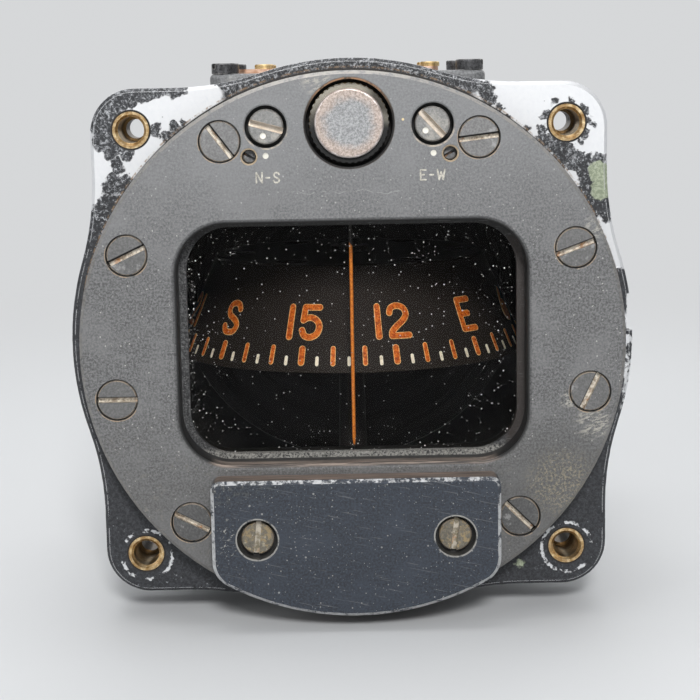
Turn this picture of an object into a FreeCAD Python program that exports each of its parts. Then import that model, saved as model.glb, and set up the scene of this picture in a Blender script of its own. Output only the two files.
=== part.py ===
import FreeCAD, Part
import math
import os

from FreeCAD import Vector

# Panel compass for an aircraft. Millimetres. X to the right as the pilot sees it, Y away from the
# pilot into the panel, Z up. The origin is the centre of the mounting holes on the flange's front.

# Clearances, and how far a cutter runs past the face it cuts
RUN = 0.05
SEAT = 0.02
SCREW_ROOM = 0.1
SHAFT_ROOM = 0.3
TIP_ROOM = 0.3
PAST = 1.0
JOIN = 0.01
FLUSH = 1e-3

# Mounting flange, with the standard hole pattern of a three and one eighth inch instrument
HOLE_SPACING = 62.865
FLANGE_SIDE = 37.35
FLANGE_CORNER = 6.5
FLANGE_SWELL = 3.85
FLANGE_BLEND_SHARE = 0.544
FLANGE_THICK = 3.2
FLANGE_EDGE = 0.5
NOTCH_DEPTH = 0.9
NOTCH_LOW = 1.0
NOTCH_HIGH = 6.3

# Threaded inserts in the four corners
INSERT_RADIUS = 2.65
INSERT_LENGTH = 11.5
INSERT_BORE = 1.9
INSERT_BORE_DEPTH = 6.8
INSERT_THREAD = 1.425
INSERT_MOUTH = 0.35
BOSS_RADIUS = 5.9
BOSS_ROUND = 0.8

# Case
RING_STEP = 3.7
RING_BACK = 7.5
RING_EDGE = 1.0
BODY_WALL = 2.9
BODY_BACK = 63.6
REAR_RING_STEP = 3.1
REAR_RING_BACK = 69.6
REAR_RING_EDGE = 0.6
DECK_DROP = 5.7
BOWL_RADIUS = 32.0
BOWL_FRONT = 8.0
DECK_THICK = 3.6
WEB_THICK = 3.0
WEB_BACK = 22.0
WEB_SINK = 1.5
WEB_LIP = 2.0

# Front cover and its gasket
COVER_RADIUS = 39.4
COVER_FACE_Y = -5.33
COVER_EDGE = 0.5
GASKET_THICK = 0.4
GASKET_INSET = 0.5

# Window
WINDOW_Z = 0.45
WINDOW_HALF_W = 25.2
WINDOW_HALF_H = 17.6
WINDOW_CORNER = 7.2
WINDOW_BEVEL = 0.6
FRAME_HALF_W = 24.1
FRAME_HALF_H = 16.8
FRAME_CORNER = 6.4
FRAME_THICK = 0.8
GLASS_HALF_W = 27.6
GLASS_HALF_H = 20.2
GLASS_CORNER = 9.0
GLASS_THICK = 3.0
GLASS_GAP = 0.1
REAR_SEAL_THICK = 0.8
PORT_HALF_W = 25.0
PORT_HALF_H = 17.8
PORT_CORNER = 7.0

# Cover screws
COVER_SCREW_INSET = 4.45
COVER_SCREW_FIRST_ANGLE = 31.7
COVER_SCREW_STEP_ANGLE = 35.0
COVER_SCREW_HEAD = 2.85
COVER_SCREW_HEAD_H = 2.1
COVER_SCREW_SUNK = 0.1
COVER_SCREW_PASS = 0.2
COVER_SCREW_MOUTH = 0.15
COVER_SCREW_SHANK = 1.7
COVER_SCREW_TIP_Y = 5.6
COVER_SCREW_SLOT_ANGLES = [-53.0, 6.6, 25.0, 20.0, 0.0, 64.0, -27.0, -45.0]
SLOT_WIDTH = 0.8
SLOT_DEPTH = 1.1
SLOT_FLOOR = 0.4
HEAD_EDGE = 0.15

# Lower cover, the proud block under the window
LOWER_HALF_W = 20.9
LOWER_TOP_Z = -18.6
LOWER_PROUD = 4.0
LOWER_INSET = 0.5
LOWER_TOP_CORNER = 1.4
LOWER_BOTTOM_CORNER = 4.0
LOWER_EDGE = 0.5
LOWER_SCREW_X = 14.3
LOWER_SCREW_Z = -27.2
LOWER_SCREW_HEAD = 2.35
LOWER_SCREW_BORE = 2.95
LOWER_SCREW_HEAD_H = 1.5
LOWER_SCREW_SUNK = 1.0
LOWER_SCREW_SHANK = 1.2
LOWER_SCREW_SLOT = 84.0
LOWER_SCREW_FLOOR = 0.8

# Adjusters of the two correctors, seen as slotted heads in the cover
ADJ_X = 11.8
ADJ_DROP = 7.7
ADJ_RECESS = 3.0
ADJ_HEAD = 2.47
ADJ_HEAD_SUNK = 0.45
ADJ_HEAD_H = 2.8
ADJ_RECESS_GAP = 0.15
ADJ_RECESS_MOUTH = 0.2
ADJ_HEAD_EDGE = 0.2
ADJ_SLOT_EXTRA = 0.05
ADJ_SHAFT = 1.3
NS_SLOT = -15.0
EW_SLOT = -47.0
DOT_RADIUS = 0.4
DOT_DEPTH = 0.2
FACE_DOT_X = 11.88
FACE_DOT_DROP = 4.08
HEAD_DOT_RADIUS = 1.36
NS_DOT_ANGLE = -108.0
EW_DOT_ANGLE = -137.0
LOCK_X = 14.26
LOCK_DROP = 4.17
LOCK_RADIUS = 1.0
LOCK_MOUTH = 0.25
LOCK_SUNK = 1.6
LOCK_HEAD_H = 1.2
LOCK_SHANK = 0.7
LOCK_SLOT = 0.4
LOCK_ANGLE = 30.0

# Lamp in the top of the cover
LAMP_DROP = 7.42
LAMP_RECESS = 6.2
LAMP_RECESS_EDGE = 0.35
SOCKET_OUTER = 5.7
SOCKET_INNER = 5.1
SOCKET_LENGTH = 12.6
SOCKET_FLOOR = 1.0
CAP_FACE = 4.95
CAP_FACE_Y = -4.5
CAP_FACE_THICK = 0.9
CAP_FACE_ROUND = 0.35
CAP_SKIRT = 5.75
CAP_SKIRT_BACK = -0.3
CAP_NECK = 5.0
CAP_NECK_BORE = 4.2
CAP_NECK_BACK = 5.4
CAP_ROOF = 0.6
CAP_KNURLS = 40
CAP_KNURL_DEPTH = 0.22
BULB_BASE = 3.0
BULB_GLASS = 2.9
BULB_FLANGE_Y = 4.1
BULB_FLANGE_THICK = 0.9
BULB_BACK = 10.9
BULB_TIP_H = 0.8
BULB_TIP = 1.2
BULB_HEADROOM = 0.3
CONTACT_RADIUS = 1.0
CONTACT_TAIL = 2.0
TAG_RADIUS = 1.8
TAG_THICK = 0.5
INSULATOR_RADIUS = 2.4
INSULATOR_LIP = 4.0
INSULATOR_LIP_THICK = 0.8
LIGHT_X = 4.0
LIGHT_Y = 6.3
LIGHT_RADIUS = 1.1

# Corrector housing on the deck
HOUSE_HALF_W = 20.5
HOUSE_CORNER = 2.3
HOUSE_FRONT = 7.9
HOUSE_BACK = 34.5
HOUSE_RISE = 7.5
HOUSE_WALL = 1.9
HOUSE_ROOF = 1.8
HOUSE_POST = 3.2
HOUSE_SCREW_HEAD = 2.05
HOUSE_SCREW_HEAD_H = 1.55
HOUSE_SCREW_SHANK = 1.2
HOUSE_SCREW_GRIP = 2.6
HOUSE_SCREW_ANGLES = [35.0, -20.0, 80.0, 10.0]
HOUSE_EDGE = 0.7
PLATE_LEFT = -16.5
PLATE_RIGHT = 13.8
PLATE_FRONT = 13.4
PLATE_BACK = 29.0
PLATE_THICK = 0.65
PLATE_SCREW_X = 12.6
PLATE_SCREW_Y = 15.6
PLATE_SCREW_PITCH = 11.2
PLATE_SCREW_HEAD = 1.45
PLATE_SCREW_HEAD_H = 0.7
PLATE_SCREW_SHANK = 0.8
PLATE_SCREW_ANGLE = 25.0
PLATE_CORNER = 1.2

# Corrector gears
GEAR_TEETH = 16
GEAR_MODULE = 0.5
GEAR_PRESSURE = 20.0
GEAR_THIN = 0.07
SPUR_FRONT = 18.0
SPUR_FACE = 3.0
HUB_RADIUS = 2.5
HUB_LENGTH = 3.0
BEVEL_Y = 20.0
BEVEL_OUTER = 3.75
BEVEL_INNER = 2.5
BEVEL_HUB_END = 5.9
BEVEL_MAGNET = 5.0
PINION_HUB_LENGTH = 2.4
MAGNET_RADIUS = 0.7
SPUR_MAGNET_LENGTH = 7.4
BEVEL_MAGNET_LENGTH = 6.8
ARBOR_RADIUS = 0.75

# Corrector frame that carries the shafts
CAGE_BASE_LIFT = 0.15
CAGE_BASE = 0.7
CAGE_WALL_FRONT = 10.2
CAGE_WALL = 1.4
CAGE_WALL_BACK = 27.0
CAGE_HALF_W = 14.6
CAGE_BACK_HALF_W = 17.0
CAGE_RAIL_HALF_W = 1.6
CAGE_RAIL = 0.9
LUG_WALL = 0.75
LUG_HALF = 2.0

# Card, float and pivot
CARD_Y = 37.8
CARD_LOW_RADIUS = 29.2
CARD_LOW_Z = -6.1
CARD_TOP_RADIUS = 22.3
CARD_TOP_Z = 9.7
CARD_THICK = 0.5
CARD_RIM = 0.35
CARD_VENTS = 6
CARD_VENT_RADIUS = 2.6
CARD_VENT_CIRCLE = 18.4
CARD_HEADING = 136.0
HUB_PLATE_RADIUS = 3.2
HUB_PLATE_THICK = 1.0
HUB_NECK_RADIUS = 2.0
HUB_TOP_Z = 11.8
HUB_EDGE = 0.3
FLOAT_OUTER = 14.5
FLOAT_INNER = 4.6
FLOAT_LOW_Z = 1.2
FLOAT_SKIN = 0.45
FLOAT_SLOPE = 1.2
CARD_MAGNET_LENGTH = 26.0
CARD_MAGNET_SIDE = 2.6
CARD_MAGNET_OFFSET = 8.0
CARD_MAGNET_ROUND = 0.5
PIVOT_Z = 8.0
PIVOT_TIP_GAP = 0.03
POINT_HEIGHT = 0.55
POINT_RADIUS = 0.3
POINT_TIP_RADIUS = 0.04
STEM_LOW_Z = 8.74
STEM_RADIUS = 0.8
STEM_COLLAR = 1.2
STEM_COLLAR_H = 0.46
STEM_SUNK = 0.4
JEWEL_RADIUS = 0.95
JEWEL_TOP_Z = 8.35
JEWEL_HEIGHT = 1.3
JEWEL_CUP_RADIUS = 0.45
JEWEL_CUP_FLOOR = 0.05
POST_TOP_RADIUS = 1.7
POST_LOW_RADIUS = 2.4
POST_FOOT_RADIUS = 5.0
POST_FOOT_H = 1.6
POST_FLARE = 0.8
POST_FLARE_H = 3.0
POST_EDGE = 0.3
POST_STUD_RADIUS = 2.0
POST_STUD_LENGTH = 3.0
POST_BOSS_RISE = 3.2
POST_BOSS_RADIUS = 6.0

# Lubber line
LUBBER_Y = 5.7
LUBBER_RADIUS = 0.26
LUBBER_TAIL_RADIUS = 0.13
LUBBER_POINT_Z = -16.5
LUBBER_POINT_H = 0.9
LUBBER_SEAT = 1.4
LUBBER_FOOT = 0.6

# Rear end
DIAPHRAGM_LIP = 2.2
DIAPHRAGM_SEAT = 1.0
DIAPHRAGM_THICK = 0.35
DIAPHRAGM_WAVES = 4
DIAPHRAGM_DEPTH = 1.1
DIAPHRAGM_CENTRE = 9.0
DIAPHRAGM_FLAT = 1.5
DIAPHRAGM_STEPS = 8
REAR_GASKET_THICK = 0.6
REAR_COVER_THICK = 2.6
REAR_DISH_INSET = 8.0
REAR_DISH_DEPTH = 4.4
REAR_DISH_WALL = 1.6
REAR_DISH_SLOPE = 3.0
REAR_DISH_ROOT = 0.8
REAR_SCREW_INSET = 1.9
REAR_SCREWS = 6
REAR_SCREW_HEAD = 1.85
REAR_SCREW_HEAD_H = 1.4
REAR_SCREW_SHANK = 1.1
REAR_SCREW_DEPTH = 4.2
REAR_SCREW_TURN_ANGLE = 37.0
VENT_RADIUS = 0.8
PLUG_Y = 51.0
PLUG_HEAD = 4.6
PLUG_HEAD_H = 2.2
PLUG_SHANK = 2.9
PLUG_LENGTH = 3.2
SEAL_THICK = 0.6
SEAL_RADIUS = 5.4
PLUG_ANGLE = 15.0

# Lamp terminals on the back of the corrector housing
BLOCK_HALF_W = 8.0
BLOCK_DROP = 4.3
BLOCK_RISE = 3.7
BLOCK_DEPTH = 3.6
BLOCK_EDGE = 0.6
TERMINAL_X = 4.4
TERMINAL_HEAD = 2.0
TERMINAL_HEAD_H = 1.5
TERMINAL_SHANK = 1.1
TERMINAL_ANGLES = [-20.0, 35.0]

# Places that follow from the sizes above
HOLE = HOLE_SPACING / 2.0
COVER_SCREW_CIRCLE = COVER_RADIUS - COVER_SCREW_INSET
LOWER_ARC = COVER_RADIUS - LOWER_INSET
LAMP_Z = COVER_RADIUS - LAMP_DROP
ADJ_Z = COVER_RADIUS - ADJ_DROP
FACE_DOT_Z = ADJ_Z - FACE_DOT_DROP
LOCK_Z = ADJ_Z - LOCK_DROP
DECK_Z = ADJ_Z - DECK_DROP
BOWL_ROOF_Z = DECK_Z - DECK_THICK
HOUSE_TOP_Z = ADJ_Z + HOUSE_RISE
BLOCK_LOW_Z = ADJ_Z - BLOCK_DROP
BLOCK_HIGH_Z = ADJ_Z + BLOCK_RISE
FLANGE_BULGE = FLANGE_SIDE + FLANGE_SWELL
BODY_RADIUS = BOWL_RADIUS + BODY_WALL
RING_RADIUS = BODY_RADIUS + RING_STEP
REAR_RING_RADIUS = BODY_RADIUS + REAR_RING_STEP
REAR_DISH_RADIUS = REAR_RING_RADIUS - REAR_DISH_INSET
DIAPHRAGM_RADIUS = BOWL_RADIUS + DIAPHRAGM_LIP
POST_BOSS_Z = POST_BOSS_RISE - BOWL_RADIUS
COVER_BACK_Y = -GASKET_THICK
GLASS_FRONT_Y = FRAME_THICK
GLASS_BACK_Y = GLASS_FRONT_Y + GLASS_THICK
RECESS_Y = GLASS_BACK_Y + REAR_SEAL_THICK
HOUSE_SCREW_X = HOUSE_HALF_W - HOUSE_CORNER
HOUSE_SCREW_YS = [HOUSE_FRONT + HOUSE_CORNER, HOUSE_BACK - HOUSE_CORNER]
HOUSE_INNER_TOP = HOUSE_TOP_Z - HOUSE_ROOF
GEAR_RADIUS = GEAR_TEETH * GEAR_MODULE / 2.0
IDLER_X = -ADJ_X + 2.0 * GEAR_RADIUS
HUB_BACK = SPUR_FRONT + SPUR_FACE + HUB_LENGTH
HUB_MAGNET_Y = HUB_BACK - HUB_LENGTH / 2.0
TERMINAL_XS = [-TERMINAL_X, TERMINAL_X]
TERMINAL_Z = (BLOCK_LOW_Z + BLOCK_HIGH_Z) / 2.0
CAGE_FLOOR_Z = DECK_Z + CAGE_BASE_LIFT
CAGE_TOP_Z = HOUSE_INNER_TOP
CARD_CENTRE = Vector(0, CARD_Y, 0)
REAR_GASKET_BACK = REAR_RING_BACK + REAR_GASKET_THICK
X_AXIS = Vector(1, 0, 0)
Y_AXIS = Vector(0, 1, 0)
Z_AXIS = Vector(0, 0, 1)


# Basic shapes

def box(x0, x1, y0, y1, z0, z1):
    return Part.makeBox(x1 - x0, y1 - y0, z1 - z0, Vector(x0, y0, z0))


def x_cyl(radius, x0, x1, y, z):
    return Part.makeCylinder(radius, x1 - x0, Vector(x0, y, z), X_AXIS)


def y_cyl(radius, y0, y1, x=0.0, z=0.0):
    return Part.makeCylinder(radius, y1 - y0, Vector(x, y0, z), Y_AXIS)


def z_cyl(radius, z0, z1, x=0.0, y=0.0):
    return Part.makeCylinder(radius, z1 - z0, Vector(x, y, z0), Z_AXIS)


def y_cone(r0, r1, y0, y1, x=0.0, z=0.0):
    return Part.makeCone(r0, r1, y1 - y0, Vector(x, y0, z), Y_AXIS)


def z_cone(r0, r1, z0, z1, x=0.0, y=0.0):
    return Part.makeCone(r0, r1, z1 - z0, Vector(x, y, z0), Z_AXIS)


def fuse(shapes):
    return shapes[0].multiFuse(shapes[1:]).removeSplitter()


def group(shapes):
    return Part.makeCompound(shapes)


def polygon_face(points):
    return Part.Face(Part.makePolygon(points + [points[0]]))


def y_turned(profile):
    """A body turned about the Y axis from (radius, y) points."""
    face = polygon_face([Vector(r, y, 0) for r, y in profile])
    return face.revolve(Vector(0, 0, 0), Y_AXIS, 360)


def z_turned(profile, centre):
    """A body turned about a vertical axis from (radius, z) points."""
    face = polygon_face([Vector(r, 0, z) for r, z in profile])
    body = face.revolve(Vector(0, 0, 0), Z_AXIS, 360)
    return body.translated(centre)


def rounded_rect_wire(half_w, half_h, corner, y, z=0.0):
    """A rounded rectangle that lies across the Y axis."""
    edges = []
    inner_w = half_w - corner
    inner_h = half_h - corner
    corners = [(inner_w, inner_h), (-inner_w, inner_h), (-inner_w, -inner_h), (inner_w, -inner_h)]
    ends = []
    for number, (cx, cz) in enumerate(corners):
        angles = [math.radians(90 * number + step) for step in (0, 45, 90)]
        arc = [Vector(cx + corner * math.cos(a), y, z + cz + corner * math.sin(a)) for a in angles]
        edges.append(Part.Arc(*arc).toShape())
        ends.append((arc[0], arc[2]))
    lines = []
    for number in range(4):
        lines.append(Part.makeLine(ends[number][1], ends[(number + 1) % 4][0]))
    ordered = [edge for pair in zip(edges, lines) for edge in pair]
    return Part.Wire(ordered)


def rounded_prism(half_w, half_h, corner, y0, y1, z=0.0):
    wire = rounded_rect_wire(half_w, half_h, corner, y0, z)
    return Part.Face(wire).extrude(Vector(0, y1 - y0, 0))


def on_circle(radius, degrees):
    """Point on the face at an angle measured from the top, clockwise as the pilot sees it."""
    angle = math.radians(degrees)
    return radius * math.sin(angle), radius * math.cos(angle)


def slot_cutter(width, depth, length, x, z, face_y, degrees):
    """A screwdriver slot cut into a head that faces the pilot."""
    blade = box(-length, length, face_y - depth, face_y + depth, -width / 2.0, width / 2.0)
    blade.rotate(Vector(0, 0, 0), Y_AXIS, -degrees)
    return blade.translated(Vector(x, 0, z))


def edges_at(shape, test):
    return [edge for edge in shape.Edges if test(edge)]


def slot_depth(head_h):
    return SLOT_DEPTH if head_h > SLOT_DEPTH + SLOT_FLOOR else head_h / 2.0


def facing_screw(head_r, head_h, shank_r, x, z, face_y, tip_y, degrees, slot=SLOT_WIDTH):
    """A slotted screw driven from the front."""
    edge_y = face_y + HEAD_EDGE
    head = y_cyl(head_r, edge_y, face_y + head_h, x, z)
    edge = y_cone(head_r - HEAD_EDGE, head_r, face_y, edge_y, x, z)
    shank = y_cyl(shank_r - SEAT, face_y + head_h, tip_y, x, z)
    cutter = slot_cutter(slot, slot_depth(head_h), head_r + PAST, x, z, face_y, degrees)
    return fuse([edge, head, shank]).cut(cutter)


def back_screw(head_r, head_h, shank_r, x, z, seat_y, tip_y, degrees):
    """A slotted screw driven from behind."""
    face_y = seat_y + head_h
    head = y_cyl(head_r, seat_y, face_y - HEAD_EDGE, x, z)
    edge = y_cone(head_r, head_r - HEAD_EDGE, face_y - HEAD_EDGE, face_y, x, z)
    shank = y_cyl(shank_r - SEAT, tip_y, seat_y, x, z)
    cutter = slot_cutter(small_slot(head_r), slot_depth(head_h), head_r + PAST, x, z, face_y, degrees)
    return fuse([shank, head, edge]).cut(cutter)


def small_slot(head_r):
    """Slot width for a head, narrower on heads under four millimetres across."""
    return SLOT_WIDTH * min(1.0, head_r / 2.0)


def top_screw(head_r, head_h, shank_r, x, y, seat_z, tip_z, degrees):
    """A slotted cheese-head screw driven from above."""
    top_z = seat_z + head_h
    head = z_cyl(head_r, seat_z, top_z - HEAD_EDGE, x, y)
    edge = z_cone(head_r, head_r - HEAD_EDGE, top_z - HEAD_EDGE, top_z, x, y)
    shank = z_cyl(shank_r - SEAT, tip_z, seat_z, x, y)
    slot = small_slot(head_r)
    blade = box(-head_r - PAST, head_r + PAST, -slot / 2.0, slot / 2.0, head_h / 2.0, head_h + PAST)
    blade.rotate(Vector(0, 0, 0), Z_AXIS, degrees)
    return fuse([shank, head, edge]).cut(blade.translated(Vector(x, y, seat_z)))


def cover_screw_places():
    """The eight cover screws, left and right in turn from the top down."""
    places = []
    for step in range(4):
        for side in (-1, 1):
            angle = COVER_SCREW_FIRST_ANGLE + step * COVER_SCREW_STEP_ANGLE
            places.append(on_circle(COVER_SCREW_CIRCLE, side * angle))
    return places


def corner_places():
    return [(sx * HOLE, sz * HOLE) for sx in (-1, 1) for sz in (-1, 1)]


# Case

def flange_wire():
    """A square with round corners, its sides swelling into a circle."""
    side = FLANGE_SIDE
    bulge = FLANGE_BULGE
    centre = side - FLANGE_CORNER
    crossing = math.sqrt(bulge ** 2 - side ** 2)
    centre_z = crossing + FLANGE_BLEND_SHARE * (centre - crossing)
    blend = (centre_z ** 2 + side ** 2 - bulge ** 2) / (2.0 * (bulge - side))
    ratio = bulge / (bulge + blend)
    touch = ((side + blend) * ratio, centre_z * ratio)
    start = math.atan2(touch[1] - centre_z, touch[0] - side - blend)
    middle = (math.pi - abs(start)) / 2.0
    bend = (side + blend - blend * math.cos(middle), centre_z - blend * math.sin(middle))
    knee = centre + FLANGE_CORNER * math.sqrt(0.5)
    edges = []
    for quarter in range(4):
        turn = math.radians(90 * quarter)

        def place(x, z):
            return Vector(x * math.cos(turn) - z * math.sin(turn), 0, x * math.sin(turn) + z * math.cos(turn))

        edges.append(Part.makeLine(place(side, -centre), place(side, -centre_z)))
        lower = Part.Arc(place(side, -centre_z), place(bend[0], -bend[1]), place(touch[0], -touch[1]))
        edges.append(lower.toShape())
        edges.append(Part.Arc(place(touch[0], -touch[1]), place(bulge, 0), place(*touch)).toShape())
        edges.append(Part.Arc(place(*touch), place(*bend), place(side, centre_z)).toShape())
        edges.append(Part.makeLine(place(side, centre_z), place(side, centre)))
        edges.append(Part.Arc(place(side, centre), place(knee, knee), place(centre, side)).toShape())
    return Part.Wire(edges)


def flange():
    plate = Part.Face(flange_wire()).extrude(Vector(0, FLANGE_THICK, 0))
    front_rim = edges_at(plate, lambda e: e.BoundBox.YMax < FLUSH)
    plate = plate.makeChamfer(FLANGE_EDGE, front_rim)
    inner = FLANGE_BULGE - NOTCH_DEPTH
    notch = box(inner, FLANGE_BULGE + PAST, -PAST, FLANGE_THICK + PAST, NOTCH_LOW, NOTCH_HIGH)
    return plate.cut(notch)


def case_shell():
    """Turned outside of the case with its flat deck."""
    step = RING_RADIUS - BODY_RADIUS
    body = y_turned([
        (0, JOIN), (RING_RADIUS - JOIN, JOIN), (RING_RADIUS, RING_BACK - RING_EDGE),
        (RING_RADIUS - RING_EDGE, RING_BACK), (BODY_RADIUS + RING_EDGE, RING_BACK),
        (BODY_RADIUS, RING_BACK + RING_EDGE), (BODY_RADIUS, BODY_BACK - step),
        (REAR_RING_RADIUS - REAR_RING_EDGE, BODY_BACK), (REAR_RING_RADIUS, BODY_BACK + REAR_RING_EDGE),
        (REAR_RING_RADIUS, REAR_RING_BACK), (0, REAR_RING_BACK)])
    above_deck = box(-RING_RADIUS, RING_RADIUS, RING_BACK, BODY_BACK, DECK_Z, RING_RADIUS)
    return body.cut(above_deck)


def corner_boss(x, z):
    """Boss round an insert, with the web that ties it to the case."""
    boss = y_cyl(BOSS_RADIUS, FLANGE_THICK - JOIN, INSERT_LENGTH, x, z)
    rim = edges_at(boss, lambda e: e.BoundBox.YMin > INSERT_LENGTH - FLUSH)
    boss = boss.makeFillet(BOSS_ROUND, rim)
    reach = math.hypot(x, z)
    root = BODY_RADIUS - WEB_SINK
    profile = [Vector(root, JOIN, 0), Vector(reach, JOIN, 0), Vector(reach, INSERT_LENGTH - WEB_LIP, 0),
               Vector(root, WEB_BACK, 0)]
    web = polygon_face(profile).extrude(Vector(0, 0, WEB_THICK)).translated(Vector(0, 0, -WEB_THICK / 2.0))
    web.rotate(Vector(0, 0, 0), Y_AXIS, -math.degrees(math.atan2(z, x)))
    return fuse([boss, web])


def bowl_space():
    """The liquid space, a lying cylinder with a flat roof."""
    lying = y_cyl(BOWL_RADIUS, BOWL_FRONT, REAR_RING_BACK + PAST)
    roof = box(-BOWL_RADIUS, BOWL_RADIUS, BOWL_FRONT - PAST, BODY_BACK, BOWL_ROOF_Z, BOWL_RADIUS + PAST)
    return lying.cut(roof)


def case_body():
    solid = fuse([flange(), case_shell()] + [corner_boss(x, z) for x, z in corner_places()])
    cutters = [bowl_space()]
    recess_half_w = GLASS_HALF_W + GLASS_GAP
    recess_half_h = GLASS_HALF_H + GLASS_GAP
    cutters.append(rounded_prism(recess_half_w, recess_half_h, GLASS_CORNER, -PAST, RECESS_Y, WINDOW_Z))
    cutters.append(rounded_prism(PORT_HALF_W, PORT_HALF_H, PORT_CORNER, 0, BOWL_FRONT + PAST, WINDOW_Z))
    cutters += [y_cyl(INSERT_RADIUS + SEAT, -PAST, INSERT_LENGTH + PAST, x, z) for x, z in corner_places()]
    cutters += [y_cyl(COVER_SCREW_SHANK, -PAST, COVER_SCREW_TIP_Y + TIP_ROOM, x, z)
                for x, z in cover_screw_places()]
    cutters += [y_cyl(ADJ_SHAFT + SHAFT_ROOM, -PAST, RING_BACK + PAST, side * ADJ_X, ADJ_Z)
                for side in (-1, 1)]
    cutters.append(y_cyl(SOCKET_OUTER + SEAT, -PAST, RING_BACK + PAST, 0, LAMP_Z))
    cutters += [light_path(side, SEAT) for side in (-1, 1)]
    cutters += lubber_seats()
    cutters += [z_cyl(HOUSE_SCREW_SHANK, DECK_Z - HOUSE_SCREW_GRIP - TIP_ROOM, DECK_Z + PAST, x, y)
                for x, y in house_screw_places()]
    cutters.append(z_cyl(PLUG_SHANK, BOWL_ROOF_Z - PAST, DECK_Z + PAST, 0, PLUG_Y))
    cutters.append(y_cyl(DIAPHRAGM_RADIUS + SEAT, REAR_RING_BACK - DIAPHRAGM_SEAT, REAR_RING_BACK + PAST))
    cutters += [y_cyl(REAR_SCREW_SHANK, REAR_RING_BACK - REAR_SCREW_DEPTH, REAR_RING_BACK + PAST, x, z)
                for x, z in rear_screw_places()]
    solid = solid.cut(fuse_loose(cutters))
    post_boss = z_cyl(POST_BOSS_RADIUS, -BODY_RADIUS + PAST, POST_BOSS_Z, 0, CARD_Y)
    post_low = POST_BOSS_Z - POST_STUD_LENGTH - TIP_ROOM
    post_hole = z_cyl(POST_STUD_RADIUS, post_low, POST_BOSS_Z + PAST, 0, CARD_Y)
    return solid.fuse(post_boss).cut(post_hole).removeSplitter()


def fuse_loose(shapes):
    """Joins cutters that may or may not touch."""
    return shapes[0].multiFuse(shapes[1:])


def mounting_inserts():
    inserts = []
    for x, z in corner_places():
        body = y_cyl(INSERT_RADIUS, 0, INSERT_LENGTH, x, z)
        bore = y_cyl(INSERT_BORE, -PAST, INSERT_BORE_DEPTH, x, z)
        thread = y_cyl(INSERT_THREAD, 0, INSERT_LENGTH + PAST, x, z)
        mouth = y_cone(INSERT_BORE + INSERT_MOUTH, INSERT_BORE, 0, INSERT_MOUTH, x, z)
        inserts.append(body.cut(fuse([bore, thread, mouth])))
    return group(inserts)


# Front cover and what it holds

def cover_holes(grow=0.0):
    """What passes through the cover and its gasket."""
    shank = COVER_SCREW_SHANK + COVER_SCREW_PASS + grow
    holes = [y_cyl(shank, COVER_FACE_Y, PAST, x, z) for x, z in cover_screw_places()]
    holes += [y_cyl(ADJ_SHAFT + RUN + grow, COVER_FACE_Y, PAST, side * ADJ_X, ADJ_Z) for side in (-1, 1)]
    holes.append(y_cyl(LAMP_RECESS + grow, COVER_FACE_Y - PAST, PAST, 0, LAMP_Z))
    return holes


def window_cutter():
    opening = rounded_prism(WINDOW_HALF_W, WINDOW_HALF_H, WINDOW_CORNER, COVER_FACE_Y - PAST, PAST, WINDOW_Z)
    mouth = rounded_rect_wire(WINDOW_HALF_W + WINDOW_BEVEL, WINDOW_HALF_H + WINDOW_BEVEL,
                              WINDOW_CORNER + WINDOW_BEVEL, COVER_FACE_Y, WINDOW_Z)
    throat_y = COVER_FACE_Y + WINDOW_BEVEL
    throat = rounded_rect_wire(WINDOW_HALF_W, WINDOW_HALF_H, WINDOW_CORNER, throat_y, WINDOW_Z)
    return opening.fuse(Part.makeLoft([mouth, throat], True, True))


def recess(radius, mouth, x, z, back_y):
    """A round recess in the cover's face with a chamfered mouth."""
    hole = y_cyl(radius, COVER_FACE_Y - PAST, back_y, x, z)
    return fuse([hole, y_cone(radius + mouth, radius, COVER_FACE_Y, COVER_FACE_Y + mouth, x, z)])


def front_cover():
    face = COVER_FACE_Y
    disc = y_turned([(0, face), (COVER_RADIUS - COVER_EDGE, face), (COVER_RADIUS, face + COVER_EDGE),
                     (COVER_RADIUS, COVER_BACK_Y), (0, COVER_BACK_Y)])
    cutters = cover_holes() + [window_cutter()]
    cutters.append(recess(LAMP_RECESS, LAMP_RECESS_EDGE, 0, LAMP_Z, COVER_BACK_Y))
    screw_seat = face + COVER_SCREW_SUNK + COVER_SCREW_HEAD_H
    cutters += [recess(COVER_SCREW_HEAD + SCREW_ROOM, COVER_SCREW_MOUTH, x, z, screw_seat)
                for x, z in cover_screw_places()]
    adjuster_seat = face + ADJ_HEAD_SUNK + ADJ_HEAD_H + ADJ_RECESS_GAP
    screw_hole_end = COVER_BACK_Y - LOWER_SCREW_FLOOR
    for side in (-1, 1):
        cutters.append(recess(ADJ_RECESS, ADJ_RECESS_MOUTH, side * ADJ_X, ADJ_Z, adjuster_seat))
        cutters.append(recess(LOCK_RADIUS, LOCK_MOUTH, side * LOCK_X, LOCK_Z, PAST))
        cutters.append(y_cyl(DOT_RADIUS, face - PAST, face + DOT_DEPTH, side * FACE_DOT_X, FACE_DOT_Z))
        lower_x = side * LOWER_SCREW_X
        cutters.append(y_cyl(LOWER_SCREW_SHANK, face - PAST, screw_hole_end, lower_x, LOWER_SCREW_Z))
    return disc.cut(fuse_loose(cutters))


def cover_gasket():
    """Thin fibre gasket between the cover and the flange."""
    ring = y_cyl(COVER_RADIUS - GASKET_INSET, -GASKET_THICK, 0)
    opening = rounded_prism(GLASS_HALF_W, GLASS_HALF_H, GLASS_CORNER, -PAST, PAST, WINDOW_Z)
    return ring.cut(fuse_loose(cover_holes(SCREW_ROOM) + [opening]))


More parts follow.
